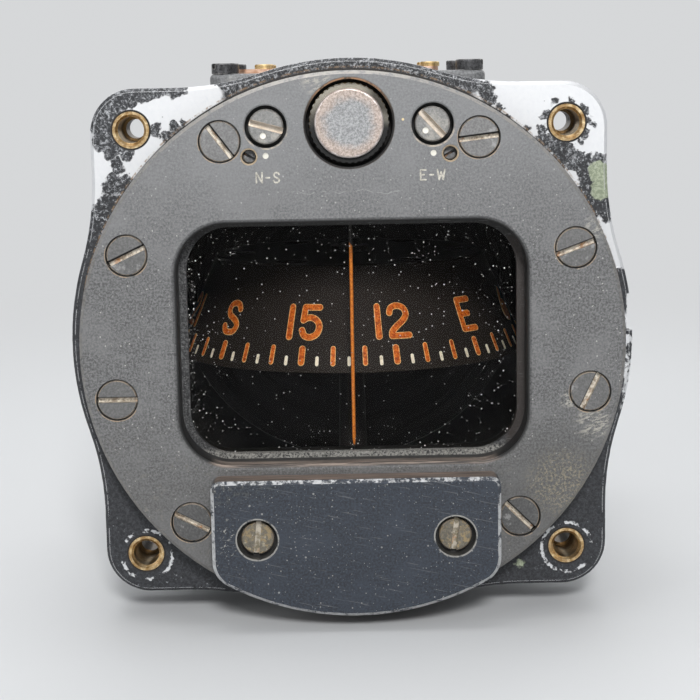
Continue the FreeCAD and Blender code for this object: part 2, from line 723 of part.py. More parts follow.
def cover_screws():
    screws = []
    for (x, z), slot in zip(cover_screw_places(), COVER_SCREW_SLOT_ANGLES):
        screws.append(facing_screw(COVER_SCREW_HEAD, COVER_SCREW_HEAD_H, COVER_SCREW_SHANK, x, z,
                                   COVER_FACE_Y + COVER_SCREW_SUNK, COVER_SCREW_TIP_Y, slot))
    return group(screws)


def window_frame():
    """Flat seal in front of the glass, the speckled band inside the window."""
    outer = rounded_prism(GLASS_HALF_W, GLASS_HALF_H, GLASS_CORNER, -GASKET_THICK, GLASS_FRONT_Y, WINDOW_Z)
    inner = rounded_prism(FRAME_HALF_W, FRAME_HALF_H, FRAME_CORNER, -PAST, GLASS_FRONT_Y + PAST, WINDOW_Z)
    return outer.cut(inner)


def window_glass():
    return rounded_prism(GLASS_HALF_W, GLASS_HALF_H, GLASS_CORNER, GLASS_FRONT_Y, GLASS_BACK_Y, WINDOW_Z)


def rear_glass_seal():
    outer = rounded_prism(GLASS_HALF_W, GLASS_HALF_H, GLASS_CORNER, GLASS_BACK_Y, RECESS_Y, WINDOW_Z)
    inner = rounded_prism(PORT_HALF_W, PORT_HALF_H, PORT_CORNER, 0, RECESS_Y + PAST, WINDOW_Z)
    return outer.cut(inner)


def lower_cover():
    """Proud block under the window, round at the bottom like the cover."""
    front = COVER_FACE_Y - LOWER_PROUD
    block = box(-LOWER_HALF_W, LOWER_HALF_W, front, COVER_FACE_Y, -COVER_RADIUS, LOWER_TOP_Z)
    block = block.common(y_cyl(LOWER_ARC, front, COVER_FACE_Y))

    def corners_at(z):
        return edges_at(block, lambda e: e.BoundBox.YLength > LOWER_PROUD - FLUSH
                        and abs(e.BoundBox.ZMin - z) < FLUSH and e.BoundBox.ZLength < FLUSH)

    block = block.makeFillet(LOWER_TOP_CORNER, corners_at(LOWER_TOP_Z))
    side_z = -math.sqrt(LOWER_ARC ** 2 - LOWER_HALF_W ** 2)
    block = block.makeFillet(LOWER_BOTTOM_CORNER, corners_at(side_z))
    block = block.makeChamfer(LOWER_EDGE, edges_at(block, lambda e: e.BoundBox.YMax < front + FLUSH))
    cutters = []
    for side in (-1, 1):
        x = side * LOWER_SCREW_X
        depth = LOWER_SCREW_SUNK + LOWER_SCREW_HEAD_H
        cutters.append(y_cyl(LOWER_SCREW_BORE, front - PAST, front + depth, x, LOWER_SCREW_Z))
        cutters.append(y_cyl(LOWER_SCREW_SHANK + SCREW_ROOM, front, 0, x, LOWER_SCREW_Z))
    return block.cut(fuse_loose(cutters))


def lower_cover_screws():
    face = COVER_FACE_Y - LOWER_PROUD + LOWER_SCREW_SUNK
    tip = COVER_BACK_Y - LOWER_SCREW_FLOOR - 2.0 * SCREW_ROOM
    return group([facing_screw(LOWER_SCREW_HEAD, LOWER_SCREW_HEAD_H, LOWER_SCREW_SHANK, side * LOWER_SCREW_X,
                               LOWER_SCREW_Z, face, tip, LOWER_SCREW_SLOT) for side in (-1, 1)])


def adjuster_lock_screws():
    face = COVER_FACE_Y + LOCK_SUNK
    return group([facing_screw(LOCK_RADIUS - SEAT, LOCK_HEAD_H, LOCK_SHANK, side * LOCK_X, LOCK_Z, face,
                               COVER_BACK_Y, side * LOCK_ANGLE, LOCK_SLOT) for side in (-1, 1)])


def lubber_seats():
    top = WINDOW_Z + PORT_HALF_H
    low = WINDOW_Z - PORT_HALF_H
    return [z_cyl(LUBBER_RADIUS + SEAT, top - PAST, top + LUBBER_SEAT, 0, LUBBER_Y),
            z_cyl(LUBBER_RADIUS + SEAT, low - LUBBER_SEAT, low + PAST, 0, LUBBER_Y)]


def lubber_line():
    """Upright wire in front of the card, pointed at the bottom with a thin tail."""
    top = WINDOW_Z + PORT_HALF_H + LUBBER_SEAT
    low = WINDOW_Z - PORT_HALF_H - LUBBER_SEAT
    shoulder = LUBBER_POINT_Z + LUBBER_POINT_H
    wire = z_cyl(LUBBER_RADIUS, shoulder, top, 0, LUBBER_Y)
    point = z_cone(LUBBER_TAIL_RADIUS, LUBBER_RADIUS, LUBBER_POINT_Z, shoulder, 0, LUBBER_Y)
    tail = z_cyl(LUBBER_TAIL_RADIUS, low + LUBBER_FOOT, LUBBER_POINT_Z, 0, LUBBER_Y)
    foot = z_cyl(LUBBER_RADIUS, low, low + LUBBER_FOOT, 0, LUBBER_Y)
    return fuse([wire, point, tail, foot])


# Lamp

def light_path(side, grow=0.0):
    """Clear rod that takes light from the lamp down to the front of the card."""
    floor = WINDOW_Z + PORT_HALF_H
    rod = z_cyl(LIGHT_RADIUS + grow, floor - 2.0 * grow, LAMP_Z, side * LIGHT_X, LIGHT_Y)
    return rod.cut(y_cyl(SOCKET_OUTER, 0, SOCKET_LENGTH, 0, LAMP_Z))


def light_guides():
    clear = y_cyl(SOCKET_OUTER + RUN, 0, SOCKET_LENGTH, 0, LAMP_Z)
    return group([light_path(side).cut(clear) for side in (-1, 1)])


def lamp_socket():
    back = SOCKET_LENGTH
    bore = y_cyl(SOCKET_INNER, -PAST, back - SOCKET_FLOOR, 0, LAMP_Z)
    tube = y_cyl(SOCKET_OUTER, 0, back, 0, LAMP_Z).cut(bore)
    low = LAMP_Z - SOCKET_OUTER - PAST
    windows = [z_cyl(LIGHT_RADIUS, low, LAMP_Z, side * LIGHT_X, LIGHT_Y) for side in (-1, 1)]
    hole = y_cyl(INSULATOR_RADIUS + SEAT, back - SOCKET_FLOOR - PAST, back + PAST, 0, LAMP_Z)
    return tube.cut(fuse_loose(windows + [hole]))


def lamp_insulator():
    back = SOCKET_LENGTH
    washer = y_cyl(INSULATOR_RADIUS, back - SOCKET_FLOOR, back, 0, LAMP_Z)
    lip = y_cyl(INSULATOR_LIP, back, back + INSULATOR_LIP_THICK, 0, LAMP_Z)
    bore = y_cyl(CONTACT_RADIUS + SEAT, 0, back + INSULATOR_LIP_THICK + PAST, 0, LAMP_Z)
    return fuse([washer, lip]).cut(bore)


def lamp_contact():
    """Centre contact with its solder tag."""
    front = BULB_BACK + RUN
    tag_front = SOCKET_LENGTH + INSULATOR_LIP_THICK
    pin = y_cyl(CONTACT_RADIUS, front, SOCKET_LENGTH + CONTACT_TAIL, 0, LAMP_Z)
    tag = y_cyl(TAG_RADIUS, tag_front, tag_front + TAG_THICK, 0, LAMP_Z)
    return fuse([pin, tag])


def knurled_ring(radius, y0, y1, teeth, depth):
    points = []
    for number in range(2 * teeth):
        angle = math.pi * number / teeth
        r = radius if number % 2 == 0 else radius - depth
        points.append(Vector(r * math.cos(angle), y0, LAMP_Z + r * math.sin(angle)))
    return polygon_face(points).extrude(Vector(0, y1 - y0, 0))


def lamp_cap():
    """Round cap with a knurled skirt, screwed into the socket."""
    skirt_y = CAP_FACE_Y + CAP_FACE_THICK
    face = y_cyl(CAP_FACE, CAP_FACE_Y, skirt_y, 0, LAMP_Z)
    face = face.makeFillet(CAP_FACE_ROUND, edges_at(face, lambda e: e.BoundBox.YMax < CAP_FACE_Y + FLUSH))
    skirt = knurled_ring(CAP_SKIRT, skirt_y, CAP_SKIRT_BACK, CAP_KNURLS, CAP_KNURL_DEPTH)
    neck = y_cyl(CAP_NECK, CAP_SKIRT_BACK, CAP_NECK_BACK, 0, LAMP_Z)
    bore = y_cyl(CAP_NECK_BORE, skirt_y + CAP_ROOF, CAP_NECK_BACK + PAST, 0, LAMP_Z)
    return fuse([face, skirt, neck]).cut(bore)


def lamp_bulb_glass():
    front = CAP_FACE_Y + CAP_FACE_THICK + CAP_ROOF + BULB_HEADROOM
    dome_y = front + BULB_GLASS
    dome = Part.makeSphere(BULB_GLASS, Vector(0, dome_y, LAMP_Z))
    neck = y_cyl(BULB_GLASS, dome_y, BULB_FLANGE_Y, 0, LAMP_Z)
    return fuse([dome, neck])


def lamp_bulb_base():
    shoulder = BULB_BACK - BULB_TIP_H
    sleeve = y_cyl(BULB_BASE, BULB_FLANGE_Y, shoulder, 0, LAMP_Z)
    seat = y_cyl(CAP_NECK_BORE - RUN, BULB_FLANGE_Y, BULB_FLANGE_Y + BULB_FLANGE_THICK, 0, LAMP_Z)
    tip = y_cone(2.0 * BULB_TIP, BULB_TIP, shoulder, BULB_BACK, 0, LAMP_Z)
    return fuse([sleeve, seat, tip])


# Corrector housing

def house_outline(inset, z0, z1):
    half_w = HOUSE_HALF_W - inset
    mid_y = (HOUSE_FRONT + HOUSE_BACK) / 2.0
    half_y = (HOUSE_BACK - HOUSE_FRONT) / 2.0 - inset
    block = box(-half_w, half_w, mid_y - half_y, mid_y + half_y, z0, z1)
    upright = edges_at(block, lambda e: e.BoundBox.ZLength > z1 - z0 - FLUSH)
    return block.makeFillet(HOUSE_CORNER - inset, upright)


def house_screw_places():
    return [(side * HOUSE_SCREW_X, y) for y in HOUSE_SCREW_YS for side in (-1, 1)]


def corrector_housing():
    """Box with an open bottom over the gears, screwed to the deck."""
    outside = house_outline(0.0, DECK_Z, HOUSE_TOP_Z)
    top_rim = edges_at(outside, lambda e: e.BoundBox.ZMin > HOUSE_TOP_Z - FLUSH)
    outside = outside.makeFillet(HOUSE_EDGE, top_rim)
    shell = outside.cut(house_outline(HOUSE_WALL, DECK_Z - PAST, HOUSE_INNER_TOP))
    posts = [z_cyl(HOUSE_POST, DECK_Z, HOUSE_TOP_Z, x, y).common(outside) for x, y in house_screw_places()]
    solid = fuse([shell] + posts)
    cutters = [z_cyl(HOUSE_SCREW_SHANK + SCREW_ROOM, DECK_Z - PAST, HOUSE_TOP_Z + PAST, x, y)
               for x, y in house_screw_places()]
    wall_front = HOUSE_FRONT - PAST
    wall_back = HOUSE_FRONT + HOUSE_WALL + TIP_ROOM
    slot = ADJ_SHAFT + SHAFT_ROOM
    for side in (-1, 1):
        notch = box(-slot, slot, wall_front, wall_back, DECK_Z - PAST, ADJ_Z)
        cutters.append(notch.translated(Vector(side * ADJ_X, 0, 0)))
        cutters.append(y_cyl(slot, wall_front, wall_back, side * ADJ_X, ADJ_Z))
    socket = SOCKET_OUTER + SCREW_ROOM
    cutters.append(box(-socket, socket, wall_front, wall_back, DECK_Z - PAST, LAMP_Z))
    cutters.append(y_cyl(socket, wall_front, SOCKET_LENGTH + TIP_ROOM, 0, LAMP_Z))
    cutters += [z_cyl(PLATE_SCREW_SHANK + RUN, HOUSE_INNER_TOP - PAST, HOUSE_TOP_Z + PAST, x, y)
                for x, y in plate_screw_places()]
    cutters += [y_cyl(TERMINAL_SHANK, HOUSE_BACK - HOUSE_WALL - PAST, HOUSE_BACK + PAST, x, TERMINAL_Z)
                for x in TERMINAL_XS]
    return solid.cut(fuse_loose(cutters))


def housing_screws():
    tip = DECK_Z - HOUSE_SCREW_GRIP
    sizes = (HOUSE_SCREW_HEAD, HOUSE_SCREW_HEAD_H, HOUSE_SCREW_SHANK)
    return group([top_screw(*sizes, x, y, HOUSE_TOP_Z, tip, angle)
                  for (x, y), angle in zip(house_screw_places(), HOUSE_SCREW_ANGLES)])


def plate_screw_places():
    rows = (PLATE_SCREW_Y, PLATE_SCREW_Y + PLATE_SCREW_PITCH)
    return [(side * PLATE_SCREW_X, y) for y in rows for side in (-1, 1)]


def housing_plate():
    """Thin plate on top of the housing, its screws reaching the frame inside."""
    plate = box(PLATE_LEFT, PLATE_RIGHT, PLATE_FRONT, PLATE_BACK, HOUSE_TOP_Z, HOUSE_TOP_Z + PLATE_THICK)
    upright = edges_at(plate, lambda e: e.BoundBox.ZLength > PLATE_THICK - FLUSH)
    plate = plate.makeFillet(PLATE_CORNER, upright)
    top = HOUSE_TOP_Z + PLATE_THICK + PAST
    holes = [z_cyl(PLATE_SCREW_SHANK + RUN, HOUSE_TOP_Z - PAST, top, x, y) for x, y in plate_screw_places()]
    return plate.cut(fuse_loose(holes))


def housing_plate_screws():
    seat = HOUSE_TOP_Z + PLATE_THICK
    return group([top_screw(PLATE_SCREW_HEAD, PLATE_SCREW_HEAD_H, PLATE_SCREW_SHANK, x, y, seat,
                            CAGE_TOP_Z - CAGE_RAIL, PLATE_SCREW_ANGLE) for x, y in plate_screw_places()])


# Corrector frame and gears

def corrector_frame():
    """Brass cage that carries the shafts, hung from the plate screws."""
    low = CAGE_FLOOR_Z
    high = CAGE_TOP_Z
    front = box(-CAGE_HALF_W, CAGE_HALF_W, CAGE_WALL_FRONT, CAGE_WALL_FRONT + CAGE_WALL, low, high)
    back = box(-CAGE_BACK_HALF_W, CAGE_BACK_HALF_W, CAGE_WALL_BACK, CAGE_WALL_BACK + CAGE_WALL, low, high)
    base = box(-CAGE_HALF_W, CAGE_HALF_W, CAGE_WALL_FRONT, CAGE_WALL_BACK + CAGE_WALL, low, low + CAGE_BASE)
    parts = [front, back, base]
    for side in (-1, 1):
        rail = box(-CAGE_RAIL_HALF_W, CAGE_RAIL_HALF_W, CAGE_WALL_FRONT, CAGE_WALL_BACK + CAGE_WALL,
                   high - CAGE_RAIL, high)
        parts.append(rail.translated(Vector(side * PLATE_SCREW_X, 0, 0)))
        inner = BEVEL_HUB_END + RUN
        near = ADJ_X + min(side * inner, side * (inner + LUG_WALL))
        far = ADJ_X + max(side * inner, side * (inner + LUG_WALL))
        lug = box(near, far, BEVEL_Y - LUG_HALF, BEVEL_Y + LUG_HALF, low, ADJ_Z)
        eye = x_cyl(LUG_HALF, near, far, BEVEL_Y, ADJ_Z)
        foot_near = min(near, CAGE_HALF_W - PAST)
        foot = box(foot_near, far, BEVEL_Y - LUG_HALF, BEVEL_Y + LUG_HALF, low, low + CAGE_BASE)
        parts += [lug, eye, foot]
    front_span = (CAGE_WALL_FRONT - PAST, CAGE_WALL_FRONT + CAGE_WALL + PAST)
    back_span = (CAGE_WALL_BACK - PAST, CAGE_WALL_BACK + CAGE_WALL + PAST)
    holes = [y_cyl(ADJ_SHAFT + RUN, *front_span, side * ADJ_X, ADJ_Z) for side in (-1, 1)]
    holes.append(y_cyl(ARBOR_RADIUS + RUN, *back_span, -ADJ_X, ADJ_Z))
    holes.append(y_cyl(ARBOR_RADIUS + SEAT, *back_span, IDLER_X, ADJ_Z))
    holes.append(x_cyl(ARBOR_RADIUS + SEAT, 0, HOUSE_HALF_W, BEVEL_Y, ADJ_Z))
    holes.append(y_cyl(SOCKET_OUTER + SCREW_ROOM, *front_span, 0, LAMP_Z))
    rail_low = high - CAGE_RAIL
    holes += [z_cyl(PLATE_SCREW_SHANK, rail_low - PAST, high + PAST, x, y) for x, y in plate_screw_places()]
    return fuse(parts).cut(fuse_loose(holes))


def tooth_profile(teeth):
    """Half of one tooth as (radius, half angle) points, root to tip, for a gear of any tooth count."""
    pitch = teeth * GEAR_MODULE / 2.0
    pressure = math.radians(GEAR_PRESSURE)
    base = pitch * math.cos(pressure)
    root = pitch - 1.25 * GEAR_MODULE
    tip = pitch + GEAR_MODULE
    half_pitch = math.pi / (2.0 * teeth) - GEAR_THIN / (2.0 * pitch)

    def half_angle(radius):
        rolled = math.acos(min(1.0, base / radius))
        involute = math.tan(rolled) - rolled
        return half_pitch + math.tan(pressure) - pressure - involute

    radii = [root, max(base, root + RUN), pitch, tip]
    return [(radius, half_angle(max(radius, base))) for radius in radii]


def gear_outline(teeth, profile, place, phase):
    """All teeth round a circle. place turns a (radius, angle) pair into a point."""
    points = []
    for number in range(teeth):
        middle = 2.0 * math.pi * (number + phase) / teeth
        points += [place(radius, middle - half) for radius, half in profile]
        points += [place(radius, middle + half) for radius, half in reversed(profile)]
    return Part.makePolygon(points + [points[0]])


def spur_gear(x, phase):
    """Spur gear across the Y axis with a hub behind it."""
    def place(radius, angle):
        return Vector(x + radius * math.cos(angle), SPUR_FRONT, ADJ_Z + radius * math.sin(angle))

    wire = gear_outline(GEAR_TEETH, tooth_profile(GEAR_TEETH), place, phase)
    wheel = Part.Face(wire).extrude(Vector(0, SPUR_FACE, 0))
    hub = y_cyl(HUB_RADIUS, SPUR_FRONT + SPUR_FACE, HUB_BACK, x, ADJ_Z)
    return fuse([wheel, hub])


def hub_magnet(x):
    """Bar magnet across the hub of a spur gear, either side of the shaft."""
    half = SPUR_MAGNET_LENGTH / 2.0
    return z_cyl(MAGNET_RADIUS, ADJ_Z - half, ADJ_Z + half, x, HUB_MAGNET_Y)


def bevel_gear(phase):
    """Bevel gear on the X axis, its cone meeting the origin, teeth from the inner to the outer plane."""
    cone = math.radians(45.0)
    back_radius = GEAR_RADIUS / math.cos(cone)
    profile = []
    for radius, half in tooth_profile(GEAR_TEETH / math.cos(cone)):
        rise = radius - back_radius
        slope = (GEAR_RADIUS + rise * math.cos(cone)) / (GEAR_RADIUS - rise * math.sin(cone))
        profile.append((slope, half / math.cos(cone)))

    def section(plane):
        def place(slope, angle):
            return Vector(plane, plane * slope * math.cos(angle), plane * slope * math.sin(angle))
        return gear_outline(GEAR_TEETH, profile, place, phase)

    return Part.makeLoft([section(BEVEL_INNER), section(BEVEL_OUTER)], True, True)


def bevel_wheel(side):
    """One of the two wheels that face each other across the pinion."""
    gear = fuse([bevel_gear(0.5), x_cyl(HUB_RADIUS, BEVEL_OUTER, BEVEL_HUB_END, 0, 0)])
    gear = gear.cut(x_cyl(ARBOR_RADIUS + RUN, 0, BEVEL_HUB_END + PAST, 0, 0))
    gear = gear.cut(z_cyl(MAGNET_RADIUS + SEAT, -HUB_RADIUS - PAST, HUB_RADIUS + PAST, BEVEL_MAGNET, 0))
    if side < 0:
        gear.rotate(Vector(0, 0, 0), Z_AXIS, 180)
    return gear.translated(Vector(ADJ_X, BEVEL_Y, ADJ_Z))


def bevel_magnet(side):
    """Bar magnet in two halves, one each side of the cross pin."""
    half = BEVEL_MAGNET_LENGTH / 2.0
    inner = ARBOR_RADIUS + RUN
    x = ADJ_X + side * BEVEL_MAGNET
    return group([z_cyl(MAGNET_RADIUS, ADJ_Z + inner, ADJ_Z + half, x, BEVEL_Y),
                  z_cyl(MAGNET_RADIUS, ADJ_Z - half, ADJ_Z - inner, x, BEVEL_Y)])


def bevel_pinion():
    gear = bevel_gear(0.0)
    gear.rotate(Vector(0, 0, 0), Z_AXIS, -90)
    hub = y_cyl(HUB_RADIUS, -BEVEL_OUTER - PINION_HUB_LENGTH, -BEVEL_OUTER)
    pinion = fuse([gear, hub]).cut(y_cyl(ADJ_SHAFT + SEAT, -BEVEL_OUTER - PINION_HUB_LENGTH - PAST, 0))
    return pinion.translated(Vector(ADJ_X, BEVEL_Y, ADJ_Z))


def bored_spur_gear(x, phase, bore):
    """Spur gear with its shaft bore and the cross hole for its magnet."""
    shaft = y_cyl(bore, SPUR_FRONT - PAST, HUB_BACK + PAST, x, ADJ_Z)
    cross = z_cyl(MAGNET_RADIUS + SEAT, ADJ_Z - GEAR_RADIUS, ADJ_Z + GEAR_RADIUS, x, HUB_MAGNET_Y)
    return spur_gear(x, phase).cut(fuse_loose([shaft, cross]))


def split_magnet(x, inner):
    """The hub magnet with room for the shaft through its middle."""
    return hub_magnet(x).cut(y_cyl(inner, SPUR_FRONT, HUB_BACK, x, ADJ_Z))


def adjuster(x, slot, dot_angle, tip_y):
    """Slotted head with a white dot on a long shaft."""
    face = COVER_FACE_Y + ADJ_HEAD_SUNK
    head = y_cyl(ADJ_HEAD, face, face + ADJ_HEAD_H, x, ADJ_Z)
    head = head.makeChamfer(ADJ_HEAD_EDGE, edges_at(head, lambda e: e.BoundBox.YMax < face + FLUSH))
    shaft = y_cyl(ADJ_SHAFT, face + ADJ_HEAD_H, tip_y, x, ADJ_Z)
    dot_x = x + HEAD_DOT_RADIUS * math.cos(math.radians(dot_angle))
    dot_z = ADJ_Z + HEAD_DOT_RADIUS * math.sin(math.radians(dot_angle))
    dot = y_cyl(DOT_RADIUS, face - PAST, face + DOT_DEPTH, dot_x, dot_z)
    cutter = slot_cutter(SLOT_WIDTH + ADJ_SLOT_EXTRA, SLOT_DEPTH, ADJ_HEAD + PAST, x, ADJ_Z, face, slot)
    return fuse([head, shaft]).cut(fuse_loose([dot, cutter]))


def ns_adjuster():
    body = adjuster(-ADJ_X, NS_SLOT, NS_DOT_ANGLE, HUB_BACK)
    spigot = y_cyl(ARBOR_RADIUS, HUB_BACK - JOIN, CAGE_WALL_BACK + CAGE_WALL, -ADJ_X, ADJ_Z)
    return fuse([body, spigot])


def ew_adjuster():
    return adjuster(ADJ_X, EW_SLOT, EW_DOT_ANGLE, BEVEL_Y - BEVEL_INNER)


def ns_idler_arbor():
    return y_cyl(ARBOR_RADIUS, SPUR_FRONT - TIP_ROOM, CAGE_WALL_BACK + CAGE_WALL, IDLER_X, ADJ_Z)


def ew_cross_pin():
    reach = BEVEL_HUB_END + RUN + LUG_WALL
    return x_cyl(ARBOR_RADIUS, ADJ_X - reach, ADJ_X + reach, BEVEL_Y, ADJ_Z)


# Lamp terminals

def terminal_block():
    block = box(-BLOCK_HALF_W, BLOCK_HALF_W, HOUSE_BACK, HOUSE_BACK + BLOCK_DEPTH, BLOCK_LOW_Z, BLOCK_HIGH_Z)
    back = HOUSE_BACK + BLOCK_DEPTH
    block = block.makeChamfer(BLOCK_EDGE, edges_at(block, lambda e: e.BoundBox.YMin > back - FLUSH))
    holes = [y_cyl(TERMINAL_SHANK + RUN, HOUSE_BACK - PAST, back + PAST, x, TERMINAL_Z) for x in TERMINAL_XS]
    return block.cut(fuse_loose(holes))


def terminal_screws():
    seat = HOUSE_BACK + BLOCK_DEPTH
    tip = HOUSE_BACK - HOUSE_WALL
    sizes = (TERMINAL_HEAD, TERMINAL_HEAD_H, TERMINAL_SHANK)
    return group([back_screw(*sizes, x, TERMINAL_Z, seat, tip, angle)
                  for x, angle in zip(TERMINAL_XS, TERMINAL_ANGLES)])


# Card and pivot

def compass_card():
    """Cone-shaped skirt with a flat top, the figures facing the pilot."""
    t = CARD_THICK
    inner_low = CARD_LOW_RADIUS - t
    inner_top = CARD_TOP_RADIUS - t
    card = z_turned([
        (HUB_NECK_RADIUS + SEAT, CARD_TOP_Z), (CARD_TOP_RADIUS - CARD_RIM, CARD_TOP_Z),
        (CARD_TOP_RADIUS, CARD_TOP_Z - CARD_RIM), (CARD_LOW_RADIUS, CARD_LOW_Z), (inner_low, CARD_LOW_Z),
        (inner_top, CARD_TOP_Z - t), (HUB_NECK_RADIUS + SEAT, CARD_TOP_Z - t)], CARD_CENTRE)
    vents = []
    for number in range(CARD_VENTS):
        angle = 2.0 * math.pi * number / CARD_VENTS
        vents.append(z_cyl(CARD_VENT_RADIUS, CARD_TOP_Z - t - PAST, CARD_TOP_Z + PAST,
                           CARD_VENT_CIRCLE * math.cos(angle), CARD_Y + CARD_VENT_CIRCLE * math.sin(angle)))
    return card.cut(fuse_loose(vents))


def card_hub():
    bore = STEM_RADIUS + RUN
    low = STEM_LOW_Z + STEM_COLLAR_H + SEAT
    neck = HUB_NECK_RADIUS
    return z_turned([
        (bore, low), (neck, low), (neck, CARD_TOP_Z), (HUB_PLATE_RADIUS, CARD_TOP_Z),
        (HUB_PLATE_RADIUS, CARD_TOP_Z + HUB_PLATE_THICK), (neck, CARD_TOP_Z + HUB_PLATE_THICK),
        (neck, HUB_TOP_Z - HUB_EDGE), (neck - HUB_EDGE, HUB_TOP_Z), (bore, HUB_TOP_Z)], CARD_CENTRE)


def card_float():
    """Float chamber under the card, open below until its base closes it."""
    top = CARD_TOP_Z - CARD_THICK
    low = FLOAT_LOW_Z + FLOAT_SKIN
    skin = FLOAT_SKIN
    inner_slope = FLOAT_SLOPE + skin * (math.sqrt(2.0) - 1.0)
    return z_turned([
        (FLOAT_INNER, low), (FLOAT_INNER, top), (FLOAT_OUTER - FLOAT_SLOPE, top),
        (FLOAT_OUTER, top - FLOAT_SLOPE), (FLOAT_OUTER, low), (FLOAT_OUTER - skin, low),
        (FLOAT_OUTER - skin, top - inner_slope),
        (FLOAT_OUTER - inner_slope, top - skin), (FLOAT_INNER + skin, top - skin),
        (FLOAT_INNER + skin, low)], CARD_CENTRE)


def card_float_base():
    low = FLOAT_LOW_Z
    high = FLOAT_LOW_Z + FLOAT_SKIN
    return z_turned([(FLOAT_INNER, low), (FLOAT_OUTER, low), (FLOAT_OUTER, high), (FLOAT_INNER, high)],
                    CARD_CENTRE)


def card_magnets():
    """Two needles side by side along the north and south line of the card."""
    half_l = CARD_MAGNET_LENGTH / 2.0
    half_s = CARD_MAGNET_SIDE / 2.0
    bars = []
    for side in (-1, 1):
        mid = side * CARD_MAGNET_OFFSET
        bar = box(mid - half_s, mid + half_s, -half_l, half_l, FLOAT_LOW_Z - CARD_MAGNET_SIDE, FLOAT_LOW_Z)
        upright = edges_at(bar, lambda e: e.BoundBox.ZLength > CARD_MAGNET_SIDE - FLUSH)
        bar = bar.makeFillet(CARD_MAGNET_ROUND, upright)
        bar.rotate(Vector(0, 0, 0), Z_AXIS, CARD_HEADING - 180.0)
        bars.append(bar.translated(CARD_CENTRE))
    return group(bars)


def pivot_point():
    """Hard steel point that stands in the jewel."""
    tip = PIVOT_Z + PIVOT_TIP_GAP
    return z_cone(POINT_TIP_RADIUS, POINT_RADIUS, tip, tip + POINT_HEIGHT, 0, CARD_Y)


def pivot_stem():
    """Stem that carries the card on a collar above the point."""
    low = STEM_LOW_Z
    top = HUB_TOP_Z - STEM_SUNK
    return z_turned([
        (0, low), (STEM_COLLAR, low), (STEM_COLLAR, low + STEM_COLLAR_H), (STEM_RADIUS, low + STEM_COLLAR_H),
        (STEM_RADIUS, top), (0, top)], CARD_CENTRE)


def jewel():
    body = z_cyl(JEWEL_RADIUS, JEWEL_TOP_Z - JEWEL_HEIGHT, JEWEL_TOP_Z, 0, CARD_Y)
    cup = z_cone(JEWEL_CUP_FLOOR, JEWEL_CUP_RADIUS, PIVOT_Z, JEWEL_TOP_Z, 0, CARD_Y)
    return body.cut(cup)


def jewel_post():
    """Tapered post on the floor of the bowl that holds the jewel."""
    floor = POST_BOSS_Z
    profile = [
        (0, floor - POST_STUD_LENGTH), (POST_STUD_RADIUS - SEAT, floor - POST_STUD_LENGTH),
        (POST_STUD_RADIUS - SEAT, floor), (POST_FOOT_RADIUS, floor), (POST_FOOT_RADIUS, floor + POST_FOOT_H),
        (POST_LOW_RADIUS + POST_FLARE, floor + POST_FOOT_H + POST_FLARE),
        (POST_LOW_RADIUS, floor + POST_FOOT_H + POST_FLARE_H), (POST_TOP_RADIUS, JEWEL_TOP_Z - POST_EDGE),
        (POST_TOP_RADIUS - POST_EDGE, JEWEL_TOP_Z), (0, JEWEL_TOP_Z)]
    post = z_turned(profile, CARD_CENTRE)
    return post.cut(z_cyl(JEWEL_RADIUS + SEAT, JEWEL_TOP_Z - JEWEL_HEIGHT, JEWEL_TOP_Z + PAST, 0, CARD_Y))


# Rear end

def rear_screw_places():
    circle = REAR_RING_RADIUS - REAR_SCREW_INSET
    return [on_circle(circle, 360.0 * (number + 0.5) / REAR_SCREWS) for number in range(REAR_SCREWS)]


def diaphragm():
    """Corrugated disc that takes up the swelling of the liquid."""
    back = REAR_RING_BACK
    front = back - DIAPHRAGM_THICK
    wave_out = BOWL_RADIUS - DIAPHRAGM_FLAT
    pitch = (wave_out - DIAPHRAGM_CENTRE) / DIAPHRAGM_WAVES
    steps = DIAPHRAGM_STEPS * DIAPHRAGM_WAVES
    radii = [DIAPHRAGM_CENTRE + (wave_out - DIAPHRAGM_CENTRE) * i / steps for i in range(steps + 1)]

    def swell(radius):
        return -DIAPHRAGM_DEPTH / 2.0 * (1.0 - math.cos(2.0 * math.pi * (radius - DIAPHRAGM_CENTRE) / pitch))

    upper = [(r, back + swell(r)) for r in radii]
    lower = [(r, front + swell(r)) for r in reversed(radii)]
    edge = [(DIAPHRAGM_RADIUS, back), (DIAPHRAGM_RADIUS, front)]
    return y_turned([(0, back)] + upper + edge + lower + [(0, front)])


def diaphragm_seal():
    ring = y_cyl(DIAPHRAGM_RADIUS, REAR_RING_BACK - DIAPHRAGM_SEAT, REAR_RING_BACK - DIAPHRAGM_THICK)
    return ring.cut(y_cyl(BOWL_RADIUS, 0, REAR_RING_BACK))


def rear_gasket():
    past = REAR_GASKET_BACK + PAST
    ring = y_cyl(REAR_RING_RADIUS, REAR_RING_BACK, REAR_GASKET_BACK).cut(y_cyl(BOWL_RADIUS, 0, past))
    holes = [y_cyl(REAR_SCREW_SHANK + SCREW_ROOM, 0, past, x, z) for x, z in rear_screw_places()]
    return ring.cut(fuse_loose(holes))


